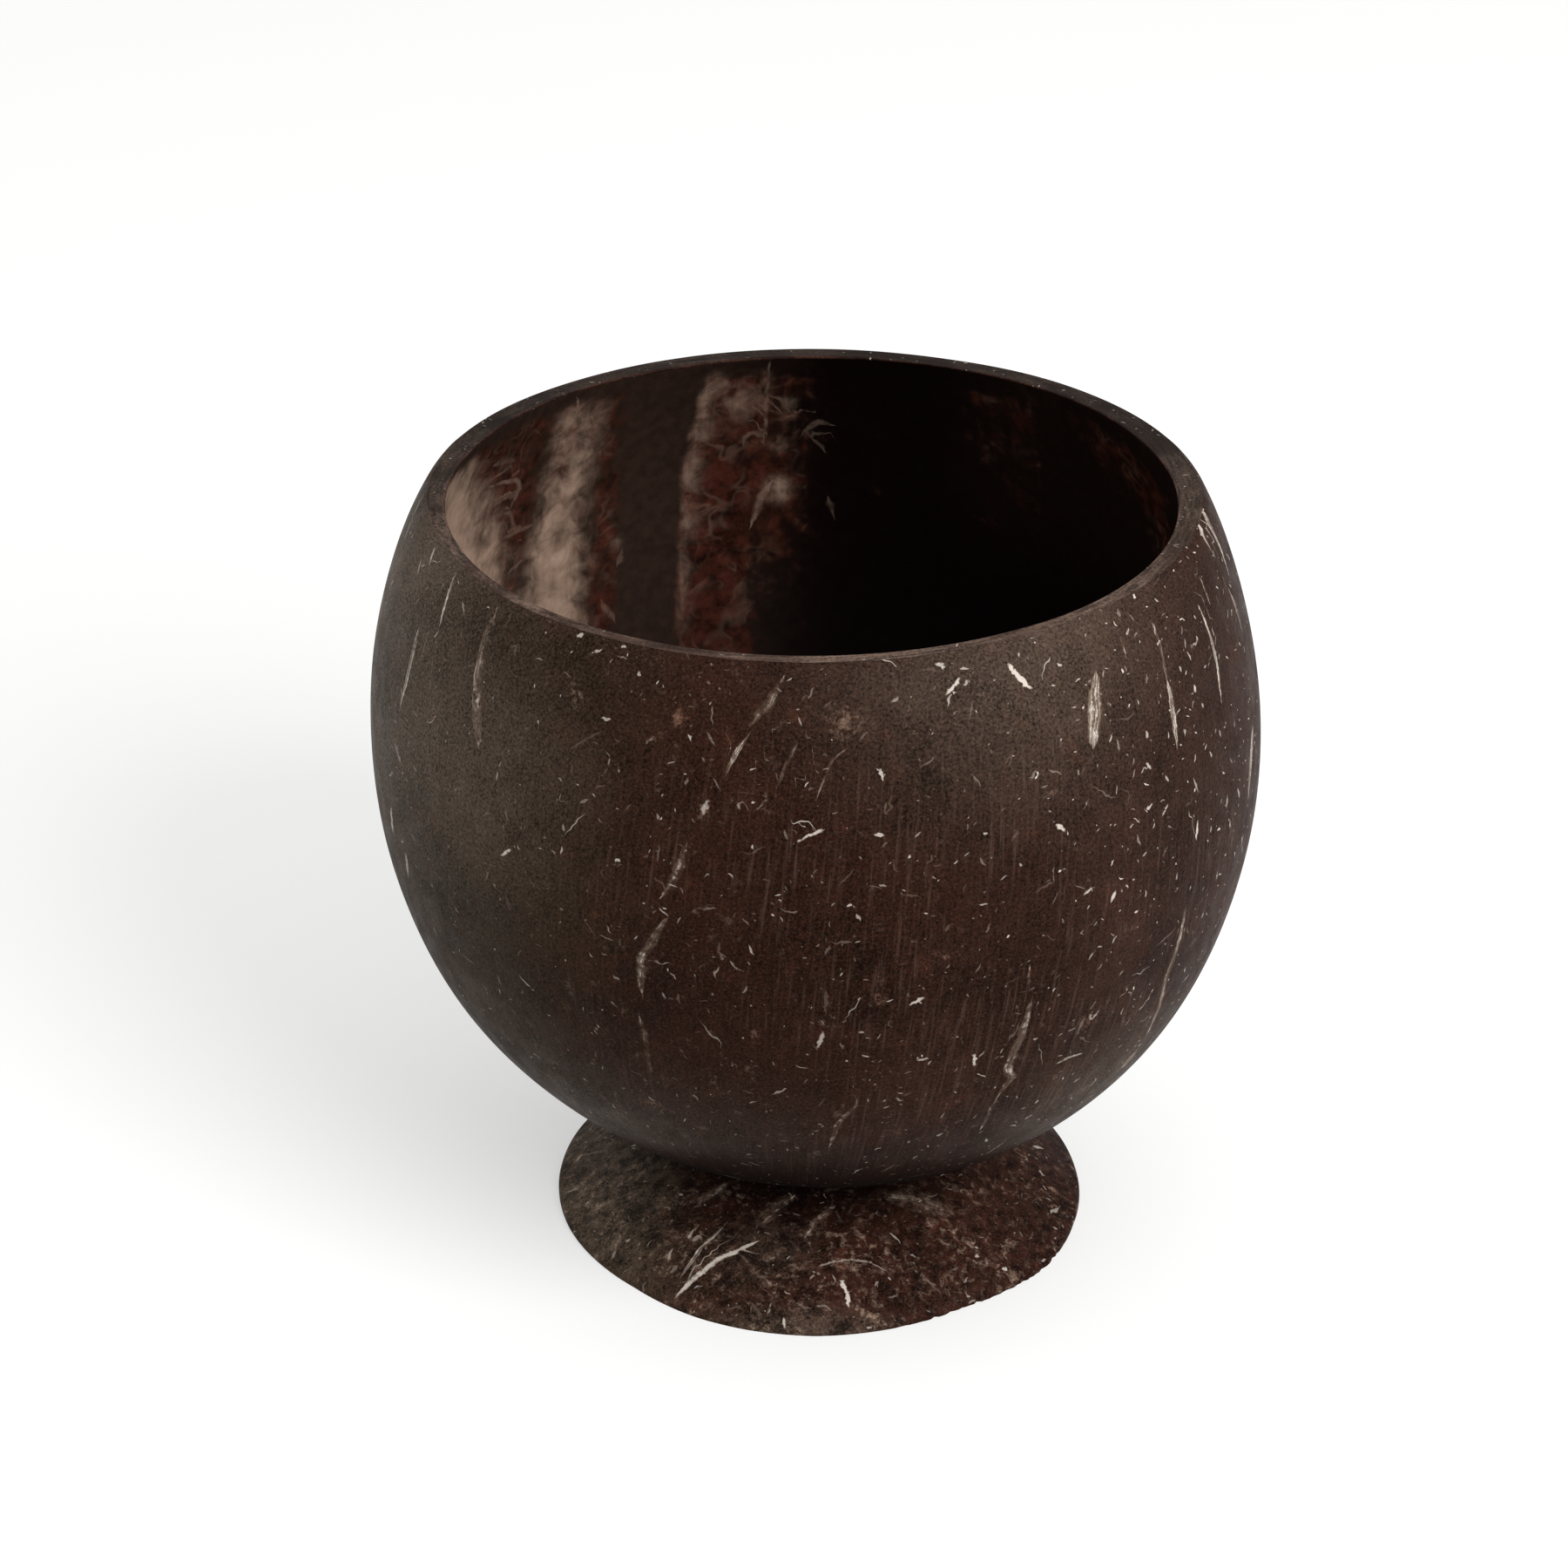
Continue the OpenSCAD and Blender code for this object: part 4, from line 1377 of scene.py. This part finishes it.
class COCONUT_OT_foot(bpy.types.Operator):
    """Models the domed foot: spun shell, worn and chipped edge, veins"""
    bl_idname = "coconut.foot"
    bl_label = "Model the foot"

    def execute(self, context):
        s = sizes()
        shape = FootShape(s)
        centre = (0.0, shape.ball_z)
        seat = [(0.0, shape.top_z), (shape.seat_r / 2, shape.top_z)]
        top, side = shape.angle_at(shape.seat_r), shape.angle_at(shape.r)
        dome = arc(centre, shape.ball_r, top, side, FOOT_STEPS_OUT)
        hollow_r = shape.ball_r - shape.wall
        ring_r = math.sqrt(hollow_r ** 2 - shape.ball_z ** 2)
        ring = shape.angle_at(ring_r, shape.wall)
        hollow = arc(centre, hollow_r, ring, math.pi / 2, FOOT_STEPS_IN)
        piece = spin_profile("foot_dome", seat + dome + [(shape.r, 0.0)] + hollow, s.turns)
        round_ring(piece, shape.r, shape.edge, width=0.35 * MM, segments=2)
        piece.data.materials.append(polished_foot(shape.r / MM))
        paint_faces(piece, hollow_foot(), self.under(piece, shape))
        self.wear(piece, shape, s)
        swell(piece, "natural_swelling", 0.6 * s.unevenness, size=0.02)
        co = points_of(piece)
        co[:, 2] = np.maximum(co[:, 2], 0.0)
        move_points(piece, co)
        surface = Surface(piece)
        hidden = unseen_veins(surface.at_top, count=9, seed=6, start=(0.017, 0.022),
                              step=1.5 * MM, sway=0.05)
        draw_veins(surface, seen_veins(surface, FOOT_VEINS) + hidden)
        draw_flecks(surface, FOOT_FLECKS)
        finish_piece(piece, "foot_shell")
        return {"FINISHED"}

    def under(self, piece, shape):
        centre = face_centres(piece)
        depth = shape.ball_r - np.sqrt((centre[:, :2] ** 2).sum(1) + (centre[:, 2] - shape.ball_z) ** 2)
        return depth > 0.9 * shape.wall

    def wear(self, piece, shape, s):
        """An outline a little out of round, with chips along the front right of the edge."""
        co = points_of(piece)
        bearing = bearing_of(co)
        r = np.hypot(co[:, 0], co[:, 1])
        out = around(FOOT_OUTLINE, co)
        share = ramp(r, shape.seat_r, shape.r) ** 2
        turn = np.radians(bearing)
        bites = np.abs(np.sin(29 * turn) * np.sin(47 * turn + 0.7) * np.sin(83 * turn))
        middle, reach = CHIPS_AT
        bites *= ramp(np.abs(bearing - middle), reach, reach - CHIPS_FADE)
        rim = np.clip((r - shape.r) / MM + 1.2, 0, 1)
        push_out(co, out * share - s.chips * bites * rim)
        move_points(piece, co)


class COCONUT_OT_glue(bpy.types.Operator):
    """Models the adhesive between the flats, with its squeezed-out bead"""
    bl_idname = "coconut.glue"
    bl_label = "Model the adhesive"

    def execute(self, context):
        s = sizes()
        cup, foot = CupShape(s), FootShape(s)
        bead_r = cup.seat_r + s.glue_bead
        seat_turn, bead_turn = (foot.angle_at(r) for r in (cup.seat_r, bead_r))
        low = arc((0.0, foot.ball_z), foot.ball_r, seat_turn, bead_turn, GLUE_STEPS)
        seat_turn, bead_turn = (-math.acos(r / cup.cap_r) for r in (cup.seat_r, bead_r))
        high = arc(cup.cap_c, cup.cap_r, bead_turn, seat_turn, GLUE_STEPS)
        hollow = [(bead_r - 0.35 * MM, (low[-1][1] + high[0][1]) / 2)]
        points = [(0.0, foot.top_z)] + low + hollow + high + [(0.0, cup.seat_z)]
        piece = spin_profile("glue_bead", points, GLUE_TURNS)
        piece.data.materials.append(cured_adhesive())
        finish_piece(piece, "glue_joint")
        return {"FINISHED"}


class COCONUT_PT_parts(bpy.types.Panel):
    """Lists the cup's pieces and its studio"""
    bl_idname = "COCONUT_PT_parts"
    bl_label = "Coconut Cup"
    bl_space_type = "VIEW_3D"
    bl_region_type = "UI"
    bl_category = "Coconut Cup"

    def draw(self, context):
        for operator in OPERATORS:
            self.layout.operator(operator.bl_idname)


OPERATORS = (COCONUT_OT_studio, COCONUT_OT_cup, COCONUT_OT_foot, COCONUT_OT_glue)
GROUPS = {
    "coconut_cup_sizes": CoconutCupSizes,
    "coconut_cup_colours": CoconutCupColours,
    "coconut_cup_studio": CoconutCupStudio,
}


def register():
    for group in (*GROUPS.values(), *OPERATORS, COCONUT_PT_parts):
        bpy.utils.register_class(group)
    for name, group in GROUPS.items():
        setattr(bpy.types.Scene, name, PointerProperty(type=group))


def unregister():
    for name in GROUPS:
        delattr(bpy.types.Scene, name)
    for group in (COCONUT_PT_parts, *reversed(OPERATORS), *GROUPS.values()):
        bpy.utils.unregister_class(group)


def main():
    register()
    bpy.ops.coconut.studio()
    bpy.ops.coconut.cup()
    bpy.ops.coconut.foot()
    bpy.ops.coconut.glue()


if __name__ == "__main__":
    main()
